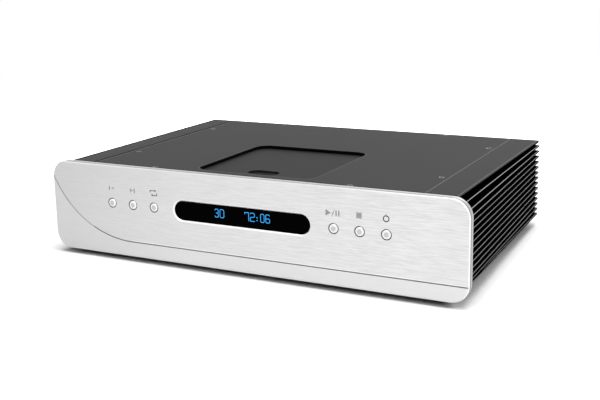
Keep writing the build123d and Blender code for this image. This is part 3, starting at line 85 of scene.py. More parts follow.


# ------------------------------------------------------------------ node helpers
class Graph:
    """The node tree of a material or a world, with short ways to add and join nodes."""

    def __init__(self, name, owners="materials", output="ShaderNodeOutputMaterial"):
        self.owner = getattr(bpy.data, owners).new(name)
        self.owner.use_nodes = True
        self.tree = self.owner.node_tree
        self.tree.nodes.clear()
        self.out = self.add(output)

    def add(self, kind, **settings):
        node = self.tree.nodes.new(kind)
        for key, value in settings.items():
            setattr(node, key, value)
        return node

    def put(self, socket, value):
        """Joins a socket to another node's output, or gives it a value of its own."""
        if isinstance(value, bpy.types.NodeSocket):
            self.tree.links.new(value, socket)
        elif value is not None:
            socket.default_value = value

    def finish(self, shader):
        self.put(self.out.inputs["Surface"], shader.outputs[0])
        return self.owner

    def math(self, operation, a, b=None):
        node = self.add("ShaderNodeMath", operation=operation)
        self.put(node.inputs[0], a)
        self.put(node.inputs[1], b)
        return node.outputs[0]

    def plus(self, a, b):
        return self.math("ADD", a, b)

    def minus(self, a, b):
        return self.math("SUBTRACT", a, b)

    def times(self, a, b):
        return self.math("MULTIPLY", a, b)

    def below(self, a, b):
        return self.math("LESS_THAN", a, b)

    def above(self, a, b):
        return self.math("GREATER_THAN", a, b)

    def largest(self, a, b):
        return self.math("MAXIMUM", a, b)

    def absolute(self, a):
        return self.math("ABSOLUTE", a)

    def place(self):
        return self.add("ShaderNodeTexCoord").outputs["Object"]

    def geometry(self, output):
        return self.add("ShaderNodeNewGeometry").outputs[output]

    def axes(self, vector):
        node = self.add("ShaderNodeSeparateXYZ")
        self.put(node.inputs[0], vector)
        return node.outputs[0], node.outputs[1], node.outputs[2]

    def noise(self, *scale, detail=2.0, roughness=0.5):
        """Noise over the object's own coordinates: one scale for all the axes, or one for each."""
        mapping = self.add("ShaderNodeMapping")
        mapping.inputs["Scale"].default_value = scale if len(scale) == 3 else scale * 3
        self.put(mapping.inputs["Vector"], self.place())
        node = self.add("ShaderNodeTexNoise")
        self.put(node.inputs["Vector"], mapping.outputs[0])
        node.inputs["Scale"].default_value = 1.0
        node.inputs["Detail"].default_value = detail
        node.inputs["Roughness"].default_value = roughness
        return node.outputs["Fac"]

    def spread(self, value, low, high, from_low=0.3, from_high=0.7):
        """Carries the range from_low to from_high over to low to high, and stops at its ends."""
        node = self.add("ShaderNodeMapRange")
        self.put(node.inputs["Value"], value)
        for socket, number in zip(node.inputs[1:5], (from_low, from_high, low, high)):
            self.put(socket, number)
        return node.outputs[0]

    def between(self, value, start, end):
        """0 before start, 1 after end, and even in between."""
        return self.spread(value, 0.0, 1.0, start, end)

    def blend(self, factor, a, b, kind="MIX"):
        node = self.add("ShaderNodeMix", data_type="RGBA", blend_type=kind)
        for socket, value in zip((node.inputs[0], node.inputs[6], node.inputs[7]), (factor, a, b)):
            self.put(socket, value)
        return node.outputs[2]

    def shade(self, base, value):
        """A colour made lighter or darker by a value round 1."""
        return self.blend(1.0, base, value, "MULTIPLY")

    def bump(self, height, distance, strength):
        node = self.add("ShaderNodeBump")
        node.inputs["Strength"].default_value = strength
        node.inputs["Distance"].default_value = distance
        self.put(node.inputs["Height"], height)
        return node.outputs[0]

    def surface(self, base, rough, metallic=0.0, normal=None, **more):
        shader = self.add("ShaderNodeBsdfPrincipled")
        self.put(shader.inputs["Base Color"], base)
        self.put(shader.inputs["Roughness"], rough)
        shader.inputs["Metallic"].default_value = metallic
        self.put(shader.inputs["Normal"], normal)
        for key, value in more.items():
            self.put(shader.inputs[key.replace("_", " ")], value)
        return self.finish(shader)


def grey(value):
    return (value, value, value, 1.0)


def linear(*srgb):
    """A screen colour, 0 to 255, as the shaders take it."""
    out = [((c / 255 + 0.055) / 1.055) ** 2.4 if c > 10 else c / 255 / 12.92 for c in srgb]
    return (*out, 1.0)


# ------------------------------------------------------------------ materials
def brushed_panel():
    """Satin aluminium: brushed along X above the groove, blasted below it, with cut bevels, and with painted
    sheen, painted highlights and painted shade.
    """
    g = Graph("panel_aluminium")
    x, y, z = g.axes(g.place())

    # below the groove: under its straight part, and outside its bend
    from_x = g.minus(x, BEND_X)
    from_z = g.minus(z, GROOVE_Z + BEND_R)
    reach = g.math("SQRT", g.plus(g.times(from_x, from_x), g.times(from_z, from_z)))
    straight = g.times(g.below(z, GROOVE_Z), g.above(x, BEND_X))
    curved = g.times(g.above(reach, BEND_R), g.below(x, BEND_X))
    lower = g.largest(straight, curved)
    upper = g.minus(1.0, lower)

    # the brushing, which is stronger towards the right, and the blasted grain
    fine = g.noise(60, 60, 5200, detail=3)
    streak = g.noise(70, 70, 1500, roughness=0.6)
    lines = g.plus(g.times(fine, 0.35), g.times(streak, 0.65))
    contrast = g.spread(x, 0.25, 0.85, -0.2, 0.2)
    brushed = g.plus(1.0, g.times(g.minus(lines, 0.5), contrast))
    brushed = g.times(brushed, g.spread(g.noise(5, 5, 9), 0.985, 1.015))
    blasted = g.spread(g.noise(900, detail=3), 1.02, 1.05)
    tone = g.plus(g.times(brushed, upper), g.times(blasted, lower))

    # three kinds of face, by how far each looks away from the front
    nx, ny, nz = g.axes(g.geometry("True Normal"))
    slope = g.absolute(ny)
    cut = g.times(g.below(slope, 0.97), g.above(slope, 0.3))
    side = g.below(slope, 0.3)

    # Painted sheen: the front face is painted lighter from left to right, as the lamps light it.
    painted_sheen = g.blend(g.between(x, -0.2, -0.06), grey(0.645), grey(0.735))
    painted_sheen = g.blend(g.between(x, -0.06, 0.2), painted_sheen, grey(0.76))

    # Painted shade on the panel's sides: darker near the front, and darker still where they face left.
    rim = g.blend(g.between(y, FACE + 0.0025, FACE + 0.0055), grey(0.28), grey(0.52))
    rim = g.blend(g.between(nx, -0.5, -0.1), grey(0.12), rim)

    # Painted highlights and painted shade on the cut bevels: lighter towards the left, dark where they face
    # left, white where they face right or down and round the window.
    painted_bevel_light = g.blend(g.between(x, -0.19, 0.2), grey(0.80), grey(0.48))
    painted_bevel_light = g.blend(g.between(nx, -0.40, -0.04), grey(0.26), painted_bevel_light)
    painted_bevel_light = g.blend(g.between(nx, 0.15, 0.5), painted_bevel_light, grey(1.0))
    painted_bevel_light = g.blend(g.spread(nz, 1.0, 0.0, -0.55, -0.35), painted_bevel_light, grey(1.0))
    near_x = g.below(g.absolute(x), WINDOW_WIDTH / 2 + 0.002)
    near_z = g.below(g.absolute(g.minus(z, CONTROL_Z)), WINDOW_HEIGHT / 2 + 0.003)
    painted_bevel_light = g.blend(g.times(near_x, near_z), painted_bevel_light, grey(1.0))

    colour = g.blend(cut, g.blend(side, g.shade(painted_sheen, tone), rim), painted_bevel_light)
    rough = g.plus(g.spread(lines, 0.36, 0.46), g.times(lower, 0.12))
    rough = g.minus(rough, g.times(cut, 0.05))
    return g.surface(colour, rough, 1.0, g.bump(g.times(lines, upper), 0.00003, 0.35))


def turned_metal(name, tone, rough):
    """Fine turning lines and faint handling marks."""
    g = Graph(name)
    marks = g.noise(2600, detail=3)
    dust = g.noise(160, detail=4)
    colour = g.shade(grey(tone), g.spread(dust, 0.94, 1.05))
    return g.surface(colour, g.spread(marks, rough - 0.05, rough + 0.08), 1.0, g.bump(marks, 0.00002, 0.4))


def anodised(name, tone, rough, brush=0.02, **more):
    """Dark anodised aluminium: fine blast grain, a faint brush along X and slow clouds of tone."""
    g = Graph(name)
    grain = g.noise(2400, detail=3, roughness=0.6)
    lines = g.spread(g.noise(30, 1500, 1500), 1 - brush, 1 + brush)
    cloud = g.spread(g.noise(6, detail=3), 0.97, 1.03)
    colour = g.shade(grey(tone), g.times(g.spread(grain, 0.95, 1.05), g.times(lines, cloud)))
    return g.surface(colour, g.spread(grain, rough - 0.05, rough + 0.06), 0.0,
                     g.bump(grain, 0.00002, 0.35), **more)


def fin_metal(name, dark, light):
    """Black anodised fins; the upper bend of each rounded nose is painted lighter, a painted highlight."""
    g = Graph(name)
    upward = g.axes(g.geometry("Normal"))[2]
    # Painted highlight on the faces that look partly upwards, with a little grain in it.
    rising = g.between(upward, 0.60, 0.74)
    not_level = g.spread(upward, 1.0, 0.0, 0.90, 0.97)
    grain = g.noise(2400, 60, 2400, detail=3)
    painted_highlight = g.times(g.times(rising, not_level), g.spread(grain, 0.85, 1.0))
    colour = g.blend(painted_highlight, grey(dark), grey(light))
    return g.surface(colour, g.spread(grain, 0.35, 0.5), 0.0,
                     g.bump(grain, 0.00001, 0.3), Specular_IOR_Level=0.0)


def plastic(name, colour, rough, depth=0.00003, **more):
    """Moulded plastic with a spark-eroded grain."""
    g = Graph(name)
    spark = g.noise(1800, detail=3, roughness=0.6)
    tint = g.shade(colour, g.spread(g.noise(30, detail=3), 0.95, 1.05))
    return g.surface(tint, g.spread(spark, rough - 0.06, rough + 0.08), 0.0,
                     g.bump(spark, depth, 0.5), **more)


def rubber(name):
    """Matt black with a little grey dust."""
    g = Graph(name)
    grain = g.noise(1400, detail=4, roughness=0.7)
    dust = g.noise(90, detail=5)
    colour = g.blend(g.spread(dust, 0.0, 0.25, 0.5, 0.8), grey(0.018), grey(0.06))
    return g.surface(colour, g.spread(grain, 0.72, 0.9), 0.0, g.bump(grain, 0.00004, 0.5))


def plated_sheet(name):
    """Zinc plate with faint rolling lines and slow stains."""
    g = Graph(name)
    roll = g.noise(25, 900, 900, detail=3)
    stain = g.noise(38, detail=5, roughness=0.65)
    colour = g.blend(g.spread(stain, 0.0, 1.0), (0.55, 0.55, 0.561, 1), (0.4675, 0.462, 0.44, 1))
    return g.surface(g.shade(colour, g.spread(roll, 0.95, 1.05)), g.spread(stain, 0.3, 0.45), 1.0,
                     g.bump(roll, 0.00002, 0.3))


def solder_mask(name):
    """Green board with buried tracks that show as lighter lines."""
    g = Graph(name)
    brick = g.add("ShaderNodeTexBrick")
    for socket, value in (("Vector", g.place()), ("Scale", 60.0), ("Mortar Size", 0.006),
                          ("Color1", (0.01, 0.09, 0.035, 1)), ("Color2", (0.012, 0.11, 0.045, 1)),
                          ("Mortar", (0.03, 0.2, 0.08, 1))):
        g.put(brick.inputs[socket], value)
    weave = g.spread(g.noise(700), 0.9, 1.1)
    return g.surface(g.shade(brick.outputs["Color"], weave), 0.32, 0.0,
                     g.bump(brick.outputs["Fac"], 0.00003, 0.4))


def glass_pane(name):
    """Smoked pane, black in front of the display."""
    g = Graph(name)
    dust = g.noise(220, detail=5, roughness=0.7)
    return g.surface(g.shade(grey(0.0006), g.spread(dust, 0.8, 1.3)), g.spread(dust, 0.05, 0.09),
                     Specular_IOR_Level=0.01)


def glow(name, colour, strength):
    g = Graph(name)
    shader = g.add("ShaderNodeEmission")
    g.put(shader.inputs["Color"], g.shade(colour, g.spread(g.noise(900), 0.93, 1.07)))
    shader.inputs["Strength"].default_value = strength
    return g.finish(shader)


def ink(name, value):
    """Printed marks: matt grey ink with slightly uneven cover."""
    g = Graph(name)
    cover = g.noise(2200, detail=3)
    colour = g.shade(linear(value, value, value), g.spread(cover, 0.85, 1.15))
    return g.surface(colour, 0.6, 0.0, g.bump(cover, 0.00001, 0.3))


def gilt(name):
    """Thin gold plate, a little duller in places."""
    g = Graph(name)
    marks = g.noise(700, detail=4)
    colour = g.blend(g.spread(marks, 0.0, 1.0), (0.83, 0.60, 0.20, 1), (0.72, 0.50, 0.17, 1))
    return g.surface(colour, g.spread(marks, 0.18, 0.3), 1.0, g.bump(marks, 0.00001, 0.3))


def tape(name):
    """The transformer's wound tape: laps round its ring."""
    g = Graph(name)
    laps = g.noise(40, 40, 900)
    colour = g.shade((0.42, 0.30, 0.05, 1), g.spread(laps, 0.8, 1.15))
    return g.surface(colour, 0.4, 0.0, g.bump(laps, 0.0002, 0.5))


MAT = {
    "panel_aluminium": brushed_panel(),
    "button_metal": turned_metal("button_metal", 0.60, 0.36),
    "display_pane": glass_pane("display_pane"),
    "cover_anodised": anodised("cover_anodised", 0.040, 0.55, Specular_IOR_Level=0.05),
    "lid_anodised": anodised("lid_anodised", 0.0150, 0.55, Specular_IOR_Level=0.08),
    "wall_anodised": anodised("wall_anodised", 0.040, 0.55, brush=0.0, Specular_IOR_Level=0.05),
    "fin_anodised": fin_metal("fin_anodised", 0.001, 0.56),
    # button_rim is much lighter than button_metal: a painted highlight on the caps' rounded rims.
    "button_rim": turned_metal("button_rim", 0.92, 0.3),
    "plated_sheet": plated_sheet("plated_sheet"),
    "rear_paint": anodised("rear_paint", 0.022, 0.55, brush=0.0),
    "screw_steel": turned_metal("screw_steel", 0.16, 0.35),
    "rubber": rubber("rubber"),
    "well_moulding": plastic("well_moulding", grey(0.016), 0.55),
    "drive_plastic": plastic("drive_plastic", (0.62, 0.60, 0.52, 1), 0.42),
    "sled_plastic": plastic("sled_plastic", (0.02, 0.02, 0.024, 1), 0.45),
    "lens_plastic": plastic("lens_plastic", (0.05, 0.06, 0.16, 1), 0.08, depth=0.0, Coat_Weight=1.0),
    "polished_steel": turned_metal("polished_steel", 0.7, 0.2),
    "circuit_board": solder_mask("circuit_board"),
    "component_black": plastic("component_black", grey(0.02), 0.5),
    "capacitor_sleeve": plastic("capacitor_sleeve", (0.02, 0.03, 0.10, 1), 0.25),
    "tube_glass": plastic("tube_glass", (0.02, 0.035, 0.04, 1), 0.08, depth=0.0),
    "transformer_tape": tape("transformer_tape"),
    "socket_gold": gilt("socket_gold"),
    "socket_black": plastic("socket_black", grey(0.022), 0.42),
}
for part in frame["record"]["subparts"]:
    materials = NODES[part["node"]].data.materials
    materials.clear()
    materials.append(MAT[part["material_slot"]])
NODES["base_plate"].data.materials[0] = anodised("base_paint", 0.010, 0.7, brush=0.0, Specular_IOR_Level=0.05)


# ------------------------------------------------------------------ mesh helpers
def piece(name, mesh, material, body, smooth=False):
    data = bpy.data.meshes.new(name)
    bmesh.ops.recalc_face_normals(mesh, faces=mesh.faces)
    mesh.to_mesh(data)
    mesh.free()
    obj = bpy.data.objects.new(name, data)
    bpy.context.scene.collection.objects.link(obj)
    data.materials.append(material)
    if smooth:
        for face in data.polygons:
            face.use_smooth = True
        data.set_sharp_from_angle(angle=math.radians(32))
    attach(obj, body)
    return obj


def arc(cx, cz, radius, start, end, count):
    """Points on an arc, with its angles in degrees."""
    angles = [math.radians(start + (end - start) * k / count) for k in range(count + 1)]
    return [(cx + radius * math.cos(a), cz + radius * math.sin(a)) for a in angles]


def rounded_box(cx, cz, width, height, radius, count=14):
    """The corner points of a rounded rectangle, counter-clockwise."""
    points = []
    for sx, sz, start in ((1, 1, 0), (-1, 1, 90), (-1, -1, 180), (1, -1, 270)):
        corner = cx + sx * (width / 2 - radius), cz + sz * (height / 2 - radius)
        points += arc(*corner, radius, start, start + 90, count)
    return points


def box_points(x0, x1, z0, z1):
    return [(x0, z0), (x1, z0), (x1, z1), (x0, z1)]


def band(mesh, a, b):
    """Joins two rings of as many points by a strip of faces."""
    for i in range(len(a)):
        j = (i + 1) % len(a)
        mesh.faces.new((a[i], a[j], b[j], b[i]))


def fan(mesh, tip, ring):
    """Joins a point to a ring."""
    for i in range(len(ring)):
        mesh.faces.new((tip, ring[i], ring[(i + 1) % len(ring)]))


def circle(mesh, radius, along, place, count):
    """A ring of points about a local axis, or one point on it."""
    if radius == 0.0:
        return [mesh.verts.new(place(0.0, 0.0, along))]
    return [mesh.verts.new(place(radius * math.cos(2 * math.pi * i / count),
                                 radius * math.sin(2 * math.pi * i / count), along)) for i in range(count)]


def lathe(mesh, profile, place, count=48, closed=False):
    """Turns (radius, along) points about a local axis. place(x, y, along) gives the point in the frame."""
    rings = [circle(mesh, radius, along, place, count) for radius, along in profile]
    for a, b in zip(rings, rings[1:] + (rings[:1] if closed else [])):
        if len(a) == 1:
            fan(mesh, a[0], b[::-1])
        elif len(b) == 1:
            fan(mesh, b[0], a)
        else:
            band(mesh, a, b)
    return rings


def along_y(x, z, y0, forward=-1):
    """A place for lathe: the axis runs along Y. 'along' grows towards the viewer (forward -1) or the rear."""
    return lambda a, b, t: (x + a, y0 + forward * t, z + b)


def along_z(x, y, z0):
    return lambda a, b, t: (x + a, y + b, z0 + t)


def slab(mesh, outline, place, depth):
    """A flat shape from 2-D points, between place(x, z, 0) and place(x, z, depth)."""
    front = [mesh.verts.new(place(px, pz, 0.0)) for px, pz in outline]
    back = [mesh.verts.new(place(px, pz, depth)) for px, pz in outline]
    mesh.faces.new(front)
    mesh.faces.new(list(reversed(back)))
    band(mesh, front, back)


# ------------------------------------------------------------------ camera, at the photograph's angle
YAW, PITCH, ROLL = 0.4846, 0.2085, -0.0214
FOCAL_LENGTH = 973.18                  # in pixels of a picture that is 600 wide
PICTURE_WIDTH = 600.0
SENSOR_WIDTH = 36.0
SHIFT_X, SHIFT_Y = 0.01887, -0.05512
CAMERA_X = 0.44757                     # from the middle of the case
CAMERA_AHEAD = 0.74993                 # in front of the panel's face
CAMERA_UP = 0.28464                    # above the panel's lower edge

ahead = Vector((-math.sin(YAW) * math.cos(PITCH), math.cos(YAW) * math.cos(PITCH), -math.sin(PITCH)))
level_right = Vector((math.cos(YAW), math.sin(YAW), 0.0))
level_up = level_right.cross(ahead)
cam_right = level_right * math.cos(ROLL) + level_up * math.sin(ROLL)
cam_up = level_up * math.cos(ROLL) - level_right * math.sin(ROLL)
camera_data = bpy.data.cameras.new("camera")
camera_data.sensor_width = SENSOR_WIDTH
camera_data.lens = FOCAL_LENGTH * SENSOR_WIDTH / PICTURE_WIDTH
camera_data.shift_x = SHIFT_X
camera_data.shift_y = SHIFT_Y
camera_data.clip_start = 0.01
camera = bpy.data.objects.new("camera", camera_data)
bpy.context.scene.collection.objects.link(camera)
turn = Matrix((cam_right, cam_up, -ahead)).transposed().to_4x4()
camera.matrix_world = Matrix.Translation(Vector((CAMERA_X, FACE - CAMERA_AHEAD, CAMERA_UP + LIFT))) @ turn
bpy.context.scene.camera = camera

# ------------------------------------------------------------------ floor, world and lamps
FLOOR_RADIUS, FLOOR_Y = 1.6, 0.3
FLOOR_DROP = 0.0002                    # the paper lies this far under the feet
SHADE_HALF = 0.203                     # how far to each side the painted shadow under the case reaches
FILL, WHITE = 0.06, 1.0                # the world's strength as light, and as it is seen


def floor_paper():
    """Pale paper, white to the camera: brighter with the distance, and with a painted shadow where the case
    covers it.
    """
    g = Graph("floor_paper")
    rays = g.add("ShaderNodeLightPath").outputs
    mirrored = g.largest(rays["Is Glossy Ray"], rays["Is Transmission Ray"])
    away = g.add("ShaderNodeVectorMath", operation="LENGTH")
    g.put(away.inputs[0], g.place())
    distance = away.outputs["Value"]
    x, y, z = g.axes(g.place())
    seen = g.blend(g.between(distance, 0.40, 0.95), grey(1.6), grey(4.0))
    seen = g.blend(g.between(distance, 1.0, 1.5), seen, grey(10.0))
    # Painted shadow: to the camera the paper is darker under the case.
    outside = g.largest(g.minus(g.absolute(x), SHADE_HALF), g.minus(g.absolute(y), -FACE))
    seen = g.blend(g.between(outside, -0.014, 0.002), grey(0.35), seen)
    unseen = g.blend(mirrored, grey(0.6), grey(1.15))
    paper = g.add("ShaderNodeBsdfDiffuse")
    g.put(paper.inputs["Color"], g.blend(rays["Is Camera Ray"], unseen, seen))
    return g.finish(paper)


floor_mesh = bmesh.new()
floor_outline = arc(0, FLOOR_Y, FLOOR_RADIUS, 0, 360, 96)[:-1]
slab(floor_mesh, floor_outline, lambda a, b, t: (a, b, -FLOOR_DROP - t), 0.01)
floor_data = bpy.data.meshes.new("floor")
floor_mesh.to_mesh(floor_data)
floor_mesh.free()
floor = bpy.data.objects.new("floor", floor_data)
bpy.context.scene.collection.objects.link(floor)
floor.data.materials.append(floor_paper())


def studio():
    """A dim world that the camera and first mirror rays see white, but not light that left a matt surface."""
    g = Graph("studio", "worlds", "ShaderNodeOutputWorld")
    rays = g.add("ShaderNodeLightPath").outputs
    first_mirror = g.times(rays["Is Glossy Ray"], g.below(rays["Diffuse Depth"], 0.5))
    white_to = g.largest(g.largest(rays["Is Camera Ray"], first_mirror), rays["Is Transmission Ray"])
    mixed = g.add("ShaderNodeMixShader")
    g.put(mixed.inputs[0], white_to)
    for socket, strength in ((mixed.inputs[1], FILL), (mixed.inputs[2], WHITE)):
        background = g.add("ShaderNodeBackground")
        background.inputs["Color"].default_value = grey(1.0)
        background.inputs["Strength"].default_value = strength
        g.put(socket, background.outputs[0])
    return g.finish(mixed)


bpy.context.scene.world = studio()


def lamp(name, place, target, size, watts):
    data = bpy.data.lights.new(name, "AREA")
    data.shape = "RECTANGLE"
    data.size = size
    data.size_y = size
    data.energy = watts
    obj = bpy.data.objects.new(name, data)
    bpy.context.scene.collection.objects.link(obj)
    obj.location = place
    obj.rotation_euler = (Vector(target) - Vector(place)).to_track_quat("-Z", "Y").to_euler()


lamp("key", (0.15, -0.25, 2.6), (0, 0, 0.05), 1.7, 40.0)
lamp("right", (2.1, 0.0, 1.8), (0.1, 0, 0.05), 1.2, 16.0)
lamp("rear", (0.2, 1.9, 2.0), (0, 0.1, 0.05), 1.6, 16.0)
lamp("front", (-0.1, -2.1, 2.0), (0.1, -0.1, 0.05), 1.4, 12.0)


# ------------------------------------------------------------------ side walls with round-nosed fins
WALL_OUTER = SEAM + 0.006
FLANGE_THICKNESS = 0.0025
FLANGE_BEND = 0.0009
LEDGE_REACH, LEDGE_THICKNESS = 0.0135, 0.004
FIN_COUNT = 14
FIN_PITCH = 0.0058
FIN_HALF = 0.0012
FIN_FIRST = 0.0063                     # top of the wall to the middle of the first fin
FIN_INSET = 0.0034                     # outline of the panel to the fins, at the front
FIN_REAR = SEAM + 0.0302               # where the fins end at the rear


def fin_front(z):
    """How far from the middle a fin at this height reaches at the front, inside the panel's outline."""
    inward = max(0.0, PANEL_R + FIN_INSET - min(PANEL_HI.z - z, z - PANEL_LO.z))
    return PANEL_HI.x - FIN_INSET - PANEL_R + math.sqrt(PANEL_R ** 2 - inward ** 2)


def wall_outline(bottom, top, reach):
    """The section of the wall, where reach(z) says how far the fin at that height goes."""
    below_flange = top - FLANGE_THICKNESS
    points = [(SEAM, top)]
    points += reversed(arc(FLANGE_TIP - FLANGE_BEND, top - FLANGE_BEND, FLANGE_BEND, 0, 90, 6))
    points += [(FLANGE_TIP, below_flange + 0.0003), (FLANGE_TIP - 0.0003, below_flange),
               (WALL_OUTER, below_flange)]
    for i in range(FIN_COUNT):
        z = top - FIN_FIRST - i * FIN_PITCH
        points.append((WALL_OUTER, z + FIN_HALF))
        points += arc(reach(z) - FIN_HALF, z, FIN_HALF, 90, -90, 8)
        points.append((WALL_OUTER, z - FIN_HALF))
    points += [(WALL_OUTER, bottom), (SEAM, bottom)]
    ledge = SEAM - LEDGE_REACH
    for low in (BASE_HI.z, COVER_LO.z - LEDGE_THICKNESS):
        high = low + LEDGE_THICKNESS
        points += [(SEAM, low), (ledge, low), (ledge, high), (SEAM, high)]
    return points


def wall(side, name, node):
    """The heat sink as two joined outlines: flange, wall, ledges, and fins that draw in towards the rear."""
    lo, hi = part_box(node)
    mesh = bmesh.new()
    ends = []
    for y, reach in ((lo.y, fin_front), (hi.y, lambda z: FIN_REAR)):
        ends.append([mesh.verts.new((side * px, y, pz)) for px, pz in wall_outline(lo.z, hi.z, reach)])
    front, rear = ends
    mesh.faces.new(front)
    mesh.faces.new(list(reversed(rear)))
    band(mesh, front, rear)
    obj = piece(name, mesh, MAT["wall_anodised"], "chassis", smooth=True)
    obj.data.materials.append(MAT["fin_anodised"])
    for face in obj.data.polygons:
        outside = abs(face.center.x) > WALL_OUTER - 0.0001 and abs(face.normal.y) < 0.5
        if outside and face.center.z < hi.z - 0.0006:
            face.material_index = 1
    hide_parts(node)


wall(1, "heat_sink_wall_right", "side_wall_right")
wall(-1, "heat_sink_wall_left", "side_wall_left")


# ------------------------------------------------------------------ buttons: a flat middle and a rounded rim
CAP_R, CAP_FLAT_R, CAP_RISE = 0.0043, 0.0024, 0.0010
FLANGE_BACK = 0.0061                   # face of the cap to the rear of its flange
BUTTON_FLANGE = 0.0012
BUTTON_FLANGE_HALF = (0.0062, 0.0032)
STEM_HALF = 0.0015
SHADE_SLEEVE_R, SHADE_SLEEVE_OUTER_R = 0.00442, 0.00498


def gap_shade_sleeves():
    """Dark sleeves in the holes of the buttons: painted shade in the gap round each cap."""
    mesh = bmesh.new()
    for name in BUTTONS:
        lo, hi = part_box(name)
        profile = [(SHADE_SLEEVE_R, -0.0012), (SHADE_SLEEVE_R, -0.0003), (SHADE_SLEEVE_R + 0.00006, -0.0002), (SHADE_SLEEVE_OUTER_R, -0.0002),
                   (SHADE_SLEEVE_OUTER_R, -0.0012)]
        lathe(mesh, profile, along_y((lo.x + hi.x) / 2, CONTROL_Z, FACE), 48, closed=True)
    piece("button_gap_shade", mesh, MAT["socket_black"], "chassis", smooth=True)


def button(name):
    lo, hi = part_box(name)
    x, z = (lo.x + hi.x) / 2, CONTROL_Z
    profile = [(0.0, 0.0), (CAP_FLAT_R - 0.0002, 0.0), (CAP_FLAT_R, -0.00004)]
    for k in range(1, 9):
        a = math.pi / 2 * k / 8
        profile.append((CAP_FLAT_R + (CAP_R - CAP_FLAT_R) * math.sin(a), -CAP_RISE + CAP_RISE * math.cos(a)))
    profile.append((CAP_R, BUTTON_FLANGE - FLANGE_BACK))
    mesh = bmesh.new()
    rings = lathe(mesh, profile, along_y(x, z, lo.y), 56)
    mesh.faces.new(rings[-1])
    back = lo.y + FLANGE_BACK
    wide, high = BUTTON_FLANGE_HALF
    slab(mesh, box_points(x - wide, x + wide, z - high, z + high),
         lambda a, b, t: (a, back - BUTTON_FLANGE + t, b), BUTTON_FLANGE)
    slab(mesh, box_points(x - STEM_HALF, x + STEM_HALF, z - STEM_HALF, z + STEM_HALF),
         lambda a, b, t: (a, back + t, b), hi.y - back)
    obj = piece("cap_" + name, mesh, MAT["button_metal"], name, smooth=True)
    # Painted highlight: the rounded rim of each cap takes the much lighter rim metal.
    obj.data.materials.append(MAT["button_rim"])
    for face in obj.data.polygons:
        reach = math.hypot(face.center.x - x, face.center.z - z)
        if CAP_FLAT_R < reach < CAP_R and face.center.y < lo.y + CAP_RISE + 0.0001:
            face.material_index = 1
    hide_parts(name)


gap_shade_sleeves()
for key in BUTTONS:
    button(key)


# ------------------------------------------------------------------ strokes, for digits and marks
def capsule(mesh, a, b, width, place, depth):
    """A straight stroke with round ends."""
    (ax, az), (bx, bz) = a, b
    angle = math.degrees(math.atan2(bz - az, bx - ax))
    points = arc(bx, bz, width / 2, angle - 90, angle + 90, 6)
    points += arc(ax, az, width / 2, angle + 90, angle + 270, 6)
    slab(mesh, points, place, depth)


def strokes(mesh, lines, width, place, depth):
    for line in lines:
        for a, b in zip(line, line[1:]):
            capsule(mesh, a, b, width, place, depth)


# Each digit is drawn in a box 1 wide and 2 tall.
DIGITS = {
    "0": [[(0.2, 0), (0.8, 0), (1, 0.25), (1, 1.75), (0.8, 2), (0.2, 2), (0, 1.75), (0, 0.25), (0.2, 0)]],
    "2": [[(0, 1.75), (0.2, 2), (0.8, 2), (1, 1.75), (1, 1.2), (0.8, 1), (0.2, 0.95), (0, 0.7), (0, 0),
           (1, 0)]],
    "3": [[(0, 1.75), (0.2, 2), (0.8, 2), (1, 1.75), (1, 1.25), (0.75, 1.02), (1, 0.8), (1, 0.25), (0.8, 0),
           (0.2, 0), (0, 0.25)], [(0.4, 1.02), (0.75, 1.02)]],
    "6": [[(1, 1.75), (0.8, 2), (0.2, 2), (0, 1.75), (0, 0.25), (0.2, 0), (0.8, 0), (1, 0.25), (1, 0.8),
           (0.8, 1.02), (0, 1.02)]],
    "7": [[(0.05, 1.62), (0, 2), (0.9, 2), (0.9, 0)]],
}
# What the display shows: a digit, and its left and right edge in millimetres.
SHOWN = (("3", -27.3, -23.1), ("0", -21.8, -17.0), ("7", 4.9, 10.2), ("2", 10.8, 15.9), ("0", 21.7, 26.0),
         ("6", 27.1, 31.7))
DIGIT_LOW, DIGIT_HIGH = LIFT + 0.0505, LIFT + 0.0588
STROKE = 0.00057
GLOWING = 0.00003                      # the lit segments in front of the pane


def display_text():
    mesh = bmesh.new()
    low, high = DIGIT_LOW + STROKE / 2, DIGIT_HIGH - STROKE / 2
    place = lambda a, b, t: (a, PANE - GLOWING + t, b)
    for digit, left, right in SHOWN:
        x0, x1 = left / 1000 + STROKE / 2, right / 1000 - STROKE / 2
        lines = [[(x0 + (x1 - x0) * px, low + (high - low) * pz / 2) for px, pz in line]
                 for line in DIGITS[digit]]
        strokes(mesh, lines, STROKE, place, 0.00002)
    for z in (LIFT + 0.0521, LIFT + 0.0547):
        capsule(mesh, (0.0182, z), (0.0184, z), 0.0010, place, 0.00002)
    piece("display_digits", mesh, glow("display_glow", linear(62, 166, 238), 1.45), "chassis")


display_text()


